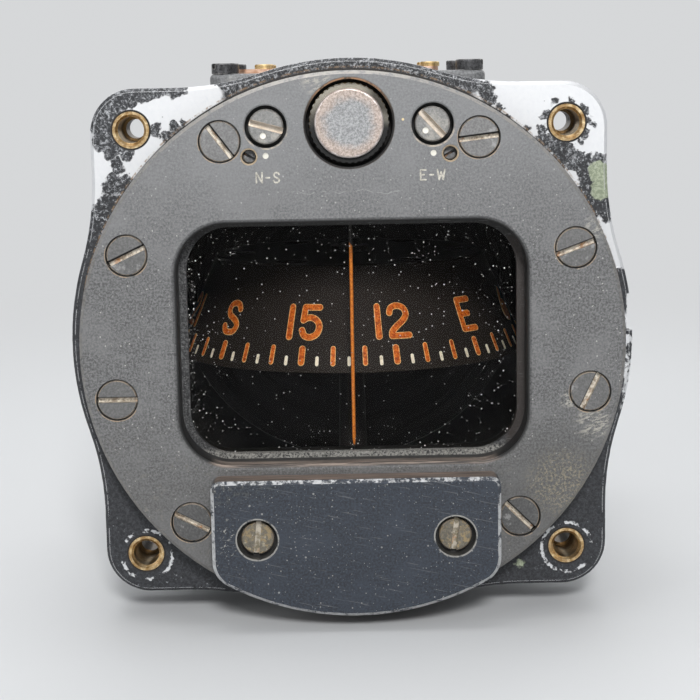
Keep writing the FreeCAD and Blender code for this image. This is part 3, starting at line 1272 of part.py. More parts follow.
def rear_cover():
    """Dished cover with a vent, over the dry side of the diaphragm."""
    front = REAR_GASKET_BACK
    back = front + REAR_COVER_THICK
    dish = back + REAR_DISH_DEPTH
    wall = REAR_DISH_WALL
    slope = REAR_DISH_SLOPE
    inner = REAR_DISH_RADIUS - wall
    cover = y_turned([
        (0, dish - wall), (inner - slope, dish - wall), (inner, dish - wall - slope),
        (inner, front), (REAR_RING_RADIUS, front), (REAR_RING_RADIUS, back - REAR_RING_EDGE),
        (REAR_RING_RADIUS - REAR_RING_EDGE, back), (REAR_DISH_RADIUS + REAR_DISH_ROOT, back),
        (REAR_DISH_RADIUS, back + REAR_DISH_ROOT), (REAR_DISH_RADIUS, dish - slope),
        (REAR_DISH_RADIUS - slope, dish), (0, dish)])
    holes = [y_cyl(REAR_SCREW_SHANK + SCREW_ROOM, 0, dish, x, z) for x, z in rear_screw_places()]
    holes.append(y_cyl(VENT_RADIUS, front, dish + PAST, 0, -REAR_DISH_RADIUS / 2.0))
    return cover.cut(fuse_loose(holes))


def rear_cover_screws():
    seat = REAR_GASKET_BACK + REAR_COVER_THICK
    tip = REAR_RING_BACK - REAR_SCREW_DEPTH + TIP_ROOM
    sizes = (REAR_SCREW_HEAD, REAR_SCREW_HEAD_H, REAR_SCREW_SHANK)
    return group([back_screw(*sizes, x, z, seat, tip, REAR_SCREW_TURN_ANGLE * number)
                  for number, (x, z) in enumerate(rear_screw_places())])


def filler_plug():
    seat = DECK_Z + SEAL_THICK
    return top_screw(PLUG_HEAD, PLUG_HEAD_H, PLUG_SHANK, 0, PLUG_Y, seat, DECK_Z - PLUG_LENGTH, PLUG_ANGLE)


def filler_seal():
    washer = z_cyl(SEAL_RADIUS, DECK_Z, DECK_Z + SEAL_THICK, 0, PLUG_Y)
    return washer.cut(z_cyl(PLUG_SHANK + RUN, DECK_Z - PAST, DECK_Z + SEAL_THICK + PAST, 0, PLUG_Y))


PARTS = {
    "case_body": case_body,
    "mounting_inserts": mounting_inserts,
    "front_cover": front_cover,
    "cover_gasket": cover_gasket,
    "cover_screws": cover_screws,
    "window_frame": window_frame,
    "window_glass": window_glass,
    "rear_glass_seal": rear_glass_seal,
    "lower_cover": lower_cover,
    "lower_cover_screws": lower_cover_screws,
    "adjuster_lock_screws": adjuster_lock_screws,
    "lubber_line": lubber_line,
    "light_guides": light_guides,
    "lamp_socket": lamp_socket,
    "lamp_insulator": lamp_insulator,
    "lamp_contact": lamp_contact,
    "lamp_cap": lamp_cap,
    "lamp_bulb_glass": lamp_bulb_glass,
    "lamp_bulb_base": lamp_bulb_base,
    "corrector_housing": corrector_housing,
    "housing_screws": housing_screws,
    "housing_plate": housing_plate,
    "housing_plate_screws": housing_plate_screws,
    "corrector_frame": corrector_frame,
    "ns_adjuster": ns_adjuster,
    "ns_drive_gear": lambda: bored_spur_gear(-ADJ_X, 0.0, ADJ_SHAFT + SEAT),
    "ns_drive_magnet": lambda: split_magnet(-ADJ_X, ADJ_SHAFT + SEAT),
    "ns_idler_arbor": ns_idler_arbor,
    "ns_idler_gear": lambda: bored_spur_gear(IDLER_X, 0.5, ARBOR_RADIUS + RUN),
    "ns_idler_magnet": lambda: split_magnet(IDLER_X, ARBOR_RADIUS + RUN),
    "ew_adjuster": ew_adjuster,
    "ew_pinion": bevel_pinion,
    "ew_cross_pin": ew_cross_pin,
    "ew_left_wheel": lambda: bevel_wheel(-1),
    "ew_left_magnet": lambda: bevel_magnet(-1),
    "ew_right_wheel": lambda: bevel_wheel(1),
    "ew_right_magnet": lambda: bevel_magnet(1),
    "terminal_block": terminal_block,
    "terminal_screws": terminal_screws,
    "compass_card": compass_card,
    "card_hub": card_hub,
    "card_float": card_float,
    "card_float_base": card_float_base,
    "card_magnets": card_magnets,
    "pivot_point": pivot_point,
    "pivot_stem": pivot_stem,
    "jewel": jewel,
    "jewel_post": jewel_post,
    "diaphragm": diaphragm,
    "diaphragm_seal": diaphragm_seal,
    "rear_gasket": rear_gasket,
    "rear_cover": rear_cover,
    "rear_cover_screws": rear_cover_screws,
    "filler_plug": filler_plug,
    "filler_seal": filler_seal,
}

os.makedirs("parts", exist_ok=True)
for name, make in PARTS.items():
    shape = make()
    shape.exportStep("parts/" + name + ".step")
    print(name, "solids", len(shape.Solids), "volume", round(shape.Volume, 2), "valid", shape.isValid())
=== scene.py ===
import math

import bpy
from mathutils import Matrix, Vector
from mathutils.geometry import delaunay_2d_cdt


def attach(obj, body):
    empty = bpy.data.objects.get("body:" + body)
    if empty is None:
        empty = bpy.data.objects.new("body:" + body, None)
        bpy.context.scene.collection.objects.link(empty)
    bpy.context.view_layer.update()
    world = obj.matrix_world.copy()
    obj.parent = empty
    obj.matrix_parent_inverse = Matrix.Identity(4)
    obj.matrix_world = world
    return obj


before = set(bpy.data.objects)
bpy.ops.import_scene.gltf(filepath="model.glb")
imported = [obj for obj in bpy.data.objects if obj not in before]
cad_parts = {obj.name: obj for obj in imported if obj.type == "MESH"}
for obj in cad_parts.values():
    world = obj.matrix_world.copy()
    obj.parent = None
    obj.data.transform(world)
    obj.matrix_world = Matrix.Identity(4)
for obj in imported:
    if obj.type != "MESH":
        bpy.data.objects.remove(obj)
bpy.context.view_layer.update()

MM = 0.001

# Sizes and places on the object, in millimetres
COVER_FACE_Y = -5.33
COVER_RADIUS = 39.4
LOWER_FACE_Y = -9.33
WINDOW_Z = 0.45
ADJ_X = 11.8
ADJ_Z = 31.7
LAMP_Z = 31.98
HOLE = 31.4325
CARD_Y = 37.8
CARD_LOW_RADIUS = 29.2
CARD_LOW_Z = -6.1
CARD_TOP_RADIUS = 22.3
CARD_TOP_Z = 9.7
CARD_HEADING = 133.95
LOWER_SCREW_X = 14.3
LOWER_SCREW_Z = -27.2
FLOOR_Z = -41.25
COVER_SCREW_CIRCLE = 34.95
# Each cover screw's angle from the top and its slot's angle, in degrees
COVER_SCREW_TURNS = [(31.7, 6.6), (66.7, 20), (101.7, 64), (136.7, -45), (-31.7, -53),
                     (-66.7, 25), (-101.7, 0), (-136.7, -27)]
COVER_SCREWS = [(COVER_SCREW_CIRCLE * math.sin(math.radians(angle)),
                 COVER_SCREW_CIRCLE * math.cos(math.radians(angle)), slot)
                for angle, slot in COVER_SCREW_TURNS]
COVER_SCREW_HEAD = 2.85
LOCK_SCREW_X = 14.26
LOCK_SCREW_Z = 27.53
DOT_X = 11.88
DOT_Z = 27.62
LABEL_Z = 23.85

# Worn, soiled and stained places: x, z and, where there are more values, radii
COVER_SCUFFS = [(34.6, -11.6, 3.4), (31, -8.2, 1.6), (35, 16.8, 2.2), (-4.5, 38, 2.6)]
COVER_SOILED = (30, -20.5)
COVER_FLECK = (7.6, 32.4)
LOWER_SCUFF = (-19.2, -27)
GLASS_SCRATCH = (-18.5, 14.4)
OLIVE_SPOTS = [(36.4, 21.8, 1.7, 1.4), (36.1, 24.2, 1.6, 1.3), (24.4, -34, 0.8, 0.4)]


# Shader building

class Shader:
    """Builds the nodes of a material or world. Positions are in millimetres in the frame."""

    def __init__(self, name, world=False):
        self.owner = (bpy.data.worlds if world else bpy.data.materials).new(name)
        self.owner.use_nodes = True
        self.tree = self.owner.node_tree
        self.tree.nodes.clear()
        coords = self.node("TexCoord").outputs["Object"]
        self.place = self.vector("SCALE", coords, scale=1000)
        self.x, self.y, self.z = self.split(self.place)

    def node(self, kind, **settings):
        made = self.tree.nodes.new("ShaderNode" + kind)
        for key, value in settings.items():
            setattr(made, key, value)
        return made

    def feed(self, socket, value):
        if isinstance(value, bpy.types.NodeSocket):
            self.tree.links.new(value, socket)
        else:
            socket.default_value = value

    def split(self, vector):
        parts = self.node("SeparateXYZ")
        self.feed(parts.inputs[0], vector)
        return parts.outputs

    def vector(self, operation, a, b=None, scale=None):
        made = self.node("VectorMath", operation=operation)
        self.feed(made.inputs[0], a)
        if b is not None:
            self.feed(made.inputs[1], b)
        if scale is not None:
            self.feed(made.inputs["Scale"], scale)
        number = operation in ("DISTANCE", "LENGTH", "DOT_PRODUCT")
        return made.outputs["Value" if number else "Vector"]

    def math(self, operation, a, b=0, clamp=False):
        made = self.node("Math", operation=operation, use_clamp=clamp)
        self.feed(made.inputs[0], a)
        self.feed(made.inputs[1], b)
        return made.outputs[0]

    def chain(self, operation, values):
        result = values[0]
        for value in values[1:]:
            result = self.math(operation, result, value)
        return result

    def total(self, *values):
        return self.chain("ADD", values)

    def times(self, *values):
        return self.chain("MULTIPLY", values)

    def most(self, *values):
        return self.chain("MAXIMUM", values)

    def invert(self, value):
        return self.math("SUBTRACT", 1, value, clamp=True)

    def step(self, value, low, high, out_low=0, out_high=1, kind="SMOOTHSTEP"):
        made = self.node("MapRange", interpolation_type=kind)
        for socket, number in zip(made.inputs[:5], (value, low, high, out_low, out_high)):
            self.feed(socket, number)
        return made.outputs[0]

    def stretch(self, sx, sy, sz, turn=0):
        """Coordinates turned about the Y axis by an angle in degrees and then scaled."""
        made = self.node("Mapping", vector_type="POINT")
        self.feed(made.inputs["Vector"], self.place)
        turned = made
        if turn:
            made.inputs["Rotation"].default_value = (0, math.radians(turn), 0)
            turned = self.node("Mapping", vector_type="POINT")
            self.feed(turned.inputs["Vector"], made.outputs[0])
        turned.inputs["Scale"].default_value = (sx, sy, sz)
        return turned.outputs[0]

    def noise(self, scale, detail=3, rough=0.55, at=None, twist=0):
        made = self.node("TexNoise")
        self.feed(made.inputs["Vector"], self.place if at is None else at)
        made.inputs["Scale"].default_value = scale
        made.inputs["Detail"].default_value = detail
        made.inputs["Roughness"].default_value = rough
        made.inputs["Distortion"].default_value = twist
        return made.outputs[0]

    def noise_vector(self, scale, amount, detail=3):
        """Coordinates shifted by noise of a given size in millimetres."""
        made = self.node("TexNoise")
        self.feed(made.inputs["Vector"], self.place)
        made.inputs["Scale"].default_value = scale
        made.inputs["Detail"].default_value = detail
        shift = self.vector("SUBTRACT", made.outputs[1], (0.5, 0.5, 0.5))
        return self.vector("ADD", self.place, self.vector("SCALE", shift, scale=2 * amount))

    def patches(self, low, high, *noise):
        """Where noise, made with its own values, rises from a low to a high level."""
        return self.step(self.noise(*noise), low, high)

    def specks(self, scale, size, share, at=None):
        """Small dots: scale is cells in a millimetre, size a dot's radius as a share of a cell."""
        made = self.node("TexVoronoi", feature="F1")
        self.feed(made.inputs["Vector"], self.place if at is None else at)
        made.inputs["Scale"].default_value = scale
        parts = self.node("SeparateColor")
        self.feed(parts.inputs[0], made.outputs["Color"])
        chosen = self.step(parts.outputs[0], 1 - share, 1 - share + 0.02)
        radius = self.math("MULTIPLY", parts.outputs[1], size)
        near = self.step(made.outputs["Distance"], radius, self.math("MULTIPLY", radius, 0.55))
        return self.times(chosen, near)

    def paint(self, socket, colour):
        """Feeds a colour of three values or another node's colour."""
        self.feed(socket, colour if isinstance(colour, bpy.types.NodeSocket) else (*colour, 1))

    def mix(self, share, a, b):
        made = self.node("Mix", data_type="RGBA", clamp_factor=True)
        self.feed(made.inputs[0], share)
        self.paint(made.inputs[6], a)
        self.paint(made.inputs[7], b)
        return made.outputs[2]

    def over(self, tone, colour, *shares):
        """A colour laid over another one by the product of shares."""
        return self.mix(self.times(*shares), tone, colour)

    def lay(self, *layer):
        """Lays a colour over the tone that the material has so far."""
        self.tone = self.over(self.tone, *layer)

    def blend(self, share, a, b):
        made = self.node("Mix", data_type="FLOAT", clamp_factor=True)
        self.feed(made.inputs[0], share)
        self.feed(made.inputs[2], a)
        self.feed(made.inputs[3], b)
        return made.outputs[0]

    def from_point(self, x, z, at=None):
        """Distance from a line along Y through (x, z)."""
        flat = self.vector("MULTIPLY", self.place if at is None else at, (1, 0, 1))
        return self.vector("DISTANCE", flat, (x, 0, z))

    def edges(self, radius, low=0.03, high=0.2):
        """Where the surface bends sharply within a radius in millimetres."""
        made = self.node("Bevel", samples=8)
        made.inputs["Radius"].default_value = radius * MM
        geometry = self.node("NewGeometry")
        bend = self.vector("DOT_PRODUCT", made.outputs[0], geometry.outputs["Normal"])
        return self.step(self.math("SUBTRACT", 1, bend), low, high)

    def rounded(self, low=0.5, high=0.7):
        """Where a rounded edge turns from the front face to a side."""
        facing = self.math("ABSOLUTE", self.split(self.node("NewGeometry").outputs["Normal"])[1])
        return self.times(self.step(facing, 0.975, 0.93), self.step(facing, low, high))

    def band(self, value, low, high, soft):
        """One between two values, falling off over a soft width outside them."""
        return self.times(self.step(value, low - soft, low), self.step(value, high + soft, high))

    def bump(self, height, distance, strength):
        """Bump whose height is a share of a distance in millimetres."""
        made = self.node("Bump")
        made.inputs["Strength"].default_value = strength
        made.inputs["Distance"].default_value = distance * MM
        self.feed(made.inputs["Height"], height)
        return made.outputs[0]

    def surface(self, colour, rough, metal=0, normal=None, **others):
        made = self.node("BsdfPrincipled")
        self.paint(made.inputs["Base Color"], colour)
        self.feed(made.inputs["Roughness"], rough)
        self.feed(made.inputs["Metallic"], metal)
        if normal is not None:
            self.feed(made.inputs["Normal"], normal)
        for key, value in others.items():
            made.inputs[key.replace("_", " ").title().replace("Ior", "IOR")].default_value = value
        return made.outputs[0]

    def join(self, share, a, b):
        """Two shaders mixed by a share."""
        made = self.node("MixShader")
        for socket, value in zip(made.inputs, (share, a, b)):
            self.feed(socket, value)
        return made.outputs[0]

    def glow(self, kind, colour, level):
        made = self.node(kind)
        self.paint(made.inputs[0], colour)
        self.feed(made.inputs[1], level)
        return made.outputs[0]

    def seen(self):
        """One for rays from the camera, off a shiny surface or through a clear one."""
        rays = self.node("LightPath").outputs
        return self.most(*(rays[f"Is {ray} Ray"] for ray in ("Camera", "Glossy", "Transmission")))

    def done(self, shader, output="OutputMaterial"):
        self.feed(self.node(output).inputs["Surface"], shader)
        return self.owner

    def coat(self, *values, **others):
        """The finished material with one surface all over."""
        return self.done(self.surface(*values, **others))


def add_object(name, data):
    made = bpy.data.objects.new(name, data)
    bpy.context.scene.collection.objects.link(made)
    return made


def dress(material, *names):
    """Gives CAD nodes a material in place of their plain one."""
    for name in names:
        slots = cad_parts[name].material_slots
        for slot in slots:
            slot.link = "OBJECT"
            slot.material = material


# Materials

def satin_enamel(name, colour, specks, rough=0.42):
    """Satin paint with a fine grain, dust specks and darker pits."""
    s = Shader(name)
    grain = s.noise(3, 2, 0.8)
    cloud = s.noise(0.12, 4, 0.65)
    s.tone = s.mix(s.step(grain, 0.34, 0.68), [c * 0.52 for c in colour], [c * 1.6 for c in colour])
    s.lay([c * 1.5 for c in colour], s.step(cloud, 0.45, 0.66), 0.55)
    brushed = s.noise(1, 3, 0.6, s.stretch(0.35, 1, 2.6, 4))
    s.lay([c * 1.7 for c in colour], s.step(brushed, 0.5, 0.7), 0.3)
    dots = s.most(s.specks(1.5, 0.2, 0.42), s.specks(0.55, 0.12, 0.5), s.specks(2.6, 0.26, 0.3))
    s.lay(specks, dots, 0.75)
    dark = s.specks(0.8, 0.13, 0.4, s.stretch(1, 1, 0.7, 20))
    s.lay([c * 0.3 for c in colour], dark, 0.6)
    roughness = s.total(s.times(grain, 0.16), rough - 0.06)
    normal = s.bump(s.total(grain, s.times(dots, 1.2), s.times(cloud, 0.5)), 0.02, 0.55)
    return s, roughness, normal


def cover_material():
    """The front cover's paint, lighter at the top as painted light and darker at the bottom as
    painted shade, with worn brass-brown edges round its holes and black painted shade in its gaps
    and hollows.
    """
    s, rough, normal = satin_enamel("cover_paint", (0.118, 0.118, 0.119), (0.5, 0.49, 0.46))
    depth = s.total(s.y, -COVER_FACE_Y)
    centre = s.from_point(0, 0)
    # Lighter towards the top: painted light.
    high = s.step(s.total(s.z, s.times(s.noise(0.1, 3), 16)), 14, 46)
    s.lay(s.mix(s.noise(3.4, 3, 0.8), (0.14, 0.142, 0.147), (0.34, 0.345, 0.35)), high, 0.62)
    # Darker towards the bottom: painted shade, with a brown smear laid over part of it.
    low = s.step(s.total(s.z, s.times(s.noise(0.1, 3), 14)), 4, -22)
    s.lay(s.mix(s.noise(3.1, 3, 0.8), (0.035, 0.034, 0.033), (0.13, 0.126, 0.12)), low, 0.5)
    smear = s.times(low, s.patches(0.56, 0.7, 0.9, 4, 0.75), 0.35)
    s.lay((0.22, 0.2, 0.16), smear)
    line_z = s.total(s.z, s.times(s.noise(0.35, 2, 0.5), -2.2), -21.25)
    scratch = s.times(s.step(s.math("ABSOLUTE", line_z), 0.09, 0.03), s.step(s.x, -9, -7.5),
                      s.step(s.x, 8, 7), s.patches(0.42, 0.5, 1.3, 2))
    s.lay((0.34, 0.34, 0.33), scratch, 0.5)
    patchy = s.patches(0.38, 0.56, 0.8, 4, 0.75)
    # Pale worn band on the rim, laid stronger towards the top as a painted highlight.
    worn_rim_and_highlight = s.times(s.rounded(), s.step(centre, COVER_RADIUS - 1, COVER_RADIUS - 0.7), patchy)
    s.lay((0.44, 0.41, 0.37), worn_rim_and_highlight, s.blend(s.step(s.z, 20, 36), 0.25, 0.62))
    for x, z, radius in COVER_SCUFFS:
        worn = s.times(s.step(s.from_point(x, z), radius, radius * 0.4),
                       s.patches(0.48, 0.58, 1.1, 4, 0.8, s.stretch(0.6, 1, 1.8, 20)))
        s.lay((0.42, 0.4, 0.35), worn, 0.75)
    soiled = s.from_point(*COVER_SOILED)
    s.lay((0.05, 0.049, 0.046), s.step(soiled, 13, 4), 0.3)
    tarnish = s.times(s.step(soiled, 6.5, 2), s.patches(0.49, 0.6, 2.6, 4, 0.8))
    s.lay((0.34, 0.29, 0.19), tarnish, 0.55)
    side = s.step(depth, 0.5, 0.75)
    outside = s.times(side, s.step(centre, COVER_RADIUS - 0.3, COVER_RADIUS - 0.15))
    turned = s.noise(1, 2, 0.6, s.stretch(0.05, 4, 0.05))
    s.lay(s.mix(s.step(turned, 0.35, 0.65), (0.026, 0.023, 0.02), (0.085, 0.068, 0.05)), outside,
          0.85)
    first = s.times(outside, s.step(depth, 1.5, 0.9), patchy)
    s.lay((0.26, 0.18, 0.11), first, 0.7)
    window = s.times(s.step(depth, 0.12, 0.5), s.step(centre, 33, 31))
    worn_sill = s.times(window, s.step(s.z, -16.4, -17), s.step(depth, 3.4, 2.4))
    s.lay((0.01, 0.01, 0.01), window)
    sill = s.mix(s.patches(0.4, 0.62, 1, 3, 0.7, s.stretch(0.14, 3.6, 0.6)), (0.06, 0.05, 0.045),
                 (0.3, 0.24, 0.2))
    s.lay(sill, worn_sill)
    rim = s.times(s.step(s.from_point(0, LAMP_Z), 7.2, 6.5), s.step(depth, 0.02, 0.2))
    copper = s.times(rim, s.step(s.z, LAMP_Z + 2.6, LAMP_Z + 5.4), s.step(s.y, 0.5, -0.5))
    # The lamp recess's lower part is painted black as shadow.
    painted_deep_shade = s.times(rim, s.step(s.z, LAMP_Z + 3.6, LAMP_Z + 1))
    s.lay(s.mix(s.noise(1.1, 3, 0.7), (0.03, 0.024, 0.018), (0.17, 0.11, 0.065)), rim)
    s.lay((0.46, 0.26, 0.15), copper, s.patches(0.36, 0.54, 0.7, 3, 0.7))
    s.lay((0.008, 0.008, 0.008), painted_deep_shade)
    adjusters = [s.from_point(x, ADJ_Z) for x in (-ADJ_X, ADJ_X)]
    # Black in the gaps round the adjuster heads: painted shade.
    hole = s.times(s.total(*(s.step(away, 3.3, 3.05) for away in adjusters)),
                   s.step(depth, 0.15, 0.45))
    s.lay((0.006, 0.006, 0.006), hole)
    for away in adjusters:
        worn = s.times(s.band(away, 3.02, 3.2, 0.07), s.step(s.z, ADJ_Z + 0.5, ADJ_Z - 1.5), patchy)
        s.lay((0.5, 0.44, 0.36), worn, s.invert(hole), 0.8)
    for x, z, _ in COVER_SCREWS:
        away = s.from_point(x, z)
        # The black ring round each head is painted shade in the gap between head and hole; the gold
        # arc below it is wear.
        ring = s.step(away, COVER_SCREW_HEAD + 0.24, COVER_SCREW_HEAD + 0.14)
        under = s.step(s.total(s.z, s.times(s.x, 0.4)), z + 0.4 * x + 0.6, z + 0.4 * x - 0.8)
        gold = s.times(s.step(away, 2.98, 3.06), s.step(away, 3.22, 3.12), under, patchy)
        s.lay((0.42, 0.31, 0.2), gold, 0.75)
        s.lay((0.006, 0.006, 0.006), ring)
    for x in (-LOCK_SCREW_X, LOCK_SCREW_X):
        lock = s.times(s.step(s.from_point(x, LOCK_SCREW_Z), 1.34, 1.26), s.step(depth, 0.01, 0.05))
        brassy = s.mix(s.noise(1.6, 3), (0.24, 0.17, 0.1), (0.6, 0.5, 0.36))
        s.lay(brassy, lock)
        # Deeper in the hole it is painted black as shade.
        s.lay((0.008, 0.008, 0.008), lock, s.step(depth, 0.28, 0.4))
    for x in (-DOT_X, DOT_X):
        dot = s.times(s.step(s.from_point(x, DOT_Z), 0.46, 0.38), s.step(depth, -1, 0.02))
        s.lay((0.75, 0.73, 0.66), dot)
    s.lay((0.8, 0.62, 0.32), s.step(s.from_point(*COVER_FLECK), 0.22, 0.14), 0.9)
    return s.coat(s.tone, rough, s.times(worn_rim_and_highlight, 0.5), normal)


def lower_cover_material():
    """Blue-black paint, worn to bright metal along its edges and dusty at its top left."""
    s, rough, normal = satin_enamel("lower_cover_paint", (0.021, 0.0265, 0.037), (0.3, 0.3, 0.29),
                                    0.4)
    depth = s.total(s.y, -LOWER_FACE_Y)
    dusty = s.times(s.step(s.total(s.z, s.times(s.x, -0.35)), -17.5, -11.5),
                    s.patches(0.48, 0.66, 1.5, 4, 0.75))
    s.lay((0.16, 0.15, 0.11), dusty, 0.5)
    scuffs = s.times(s.patches(0.6, 0.66, 1.2, 4, 0.8, s.stretch(0.7, 1, 1.4, 30)),
                     s.step(s.from_point(*LOWER_SCUFF), 4.4, 1.5))
    s.lay((0.4, 0.39, 0.36), scuffs, 0.8)
    hair = s.patches(0.66, 0.69, 1, 2, 0.5, s.stretch(0.2, 1, 5, -12))
    s.lay((0.2, 0.2, 0.2), hair, 0.3)
    edge = s.times(s.rounded(0.35, 0.55), s.step(depth, 0.6, 0.45))
    worn = s.times(edge, s.step(s.total(s.noise(0.8, 4, 0.75),
                                        s.times(s.step(s.z, -22, -19.5), -0.07)), 0.37, 0.5))
    s.lay(s.mix(s.noise(1.7, 3), (0.24, 0.24, 0.24), (0.68, 0.69, 0.7)), worn)
    for x in (-LOWER_SCREW_X, LOWER_SCREW_X):
        away = s.from_point(x, LOWER_SCREW_Z)
        lip = s.times(s.band(away, 2.9, 3.12, 0.08), s.patches(0.36, 0.5, 0.9, 4, 0.75))
        s.lay((0.36, 0.35, 0.32), lip, 0.7)
        # Inside each counterbore the paint is darkened: painted shade.
        s.lay((0.014, 0.013, 0.012), s.step(away, 3.05, 2.9), s.step(depth, 0.1, 0.3))
    lines = s.noise(1, 2, 0.5, s.stretch(0.15, 6, 0.15))
    top = s.times(s.step(s.z, -19.1, -18.75), s.step(depth, 0.5, 0.75))
    brown = s.mix(s.step(lines, 0.36, 0.6), (0.04, 0.03, 0.024), (0.26, 0.19, 0.15))
    s.lay(brown, top, 0.92)
    return s.coat(s.tone, rough, s.times(worn, 0.6), normal)


# Painted areas left on the top half of the flange: x, z and radius in millimetres
PAINT_KEPT = [
    (-24.9, 38, 1.9), (-27.3, 37.6, 1.7), (-29.5, 37, 2), (-31.6, 36.6, 2.1), (-33.4, 35.6, 2.2),
    (-35, 34, 2.2), (-35.6, 32.2, 2), (-35.4, 30, 1.7), (-34.2, 28.6, 1.3), (-32.2, 28.4, 1.2),
    (-33.6, 26.4, 1), (-34.2, 24.6, 0.9), (-35, 23.2, 1), (-35.2, 20.9, 1.4), (-32.4, 20.9, 1.3),
    (-36, 18.6, 2.2), (-35, 16.4, 2.6), (-27.8, 31.3, 0.9), (-24.6, 31.2, 1), (-36.6, 12, 4.4),
    (-38, 7, 4.2), (-20.4, 39.5, 1.3), (-17, 40, 3.2), (-26.1, 30.5, 0.9), (-25, 31.6, 0.8),
    (-23.8, 32.5, 0.5), (-32.7, 24, 1.1), (-33.4, 22.6, 1.2), (-34.4, 20.4, 1.7),
    (-36.6, 19.6, 1.3), (-35.2, 18.4, 2), (-37.4, 17.2, 1.5), (-37.6, 15.2, 1.6), (18.3, 37.2, 0.9),
    (19.8, 36.4, 1.1), (20.5, 35, 0.9), (21.7, 33.6, 0.7), (22.8, 32.1, 0.5), (16.6, 39.6, 2.4),
    (25.7, 30.8, 0.5), (27.9, 30.5, 0.75), (28.4, 32.7, 0.6), (27.7, 29.2, 0.9), (29.7, 34.4, 0.5),
    (33.9, 33.3, 0.6), (34.4, 31.7, 0.7), (33.9, 29.8, 0.7), (33.5, 28.5, 0.5), (32, 34.5, 0.4),
    (35.2, 31, 0.4), (29.2, 28.3, 1.4), (31, 27.4, 1.5), (32.6, 26, 1.5), (30.4, 26, 1.3),
    (34.6, 25.6, 1), (36.2, 25.9, 1.1), (34.4, 24, 1.6), (36.4, 23.6, 1.6), (35.9, 21.6, 1.9),
    (34.7, 21.4, 1.6), (36.8, 19, 1.5), (35.6, 19, 1.5), (37.2, 17.6, 0.7), (39.6, 8, 1.9)]


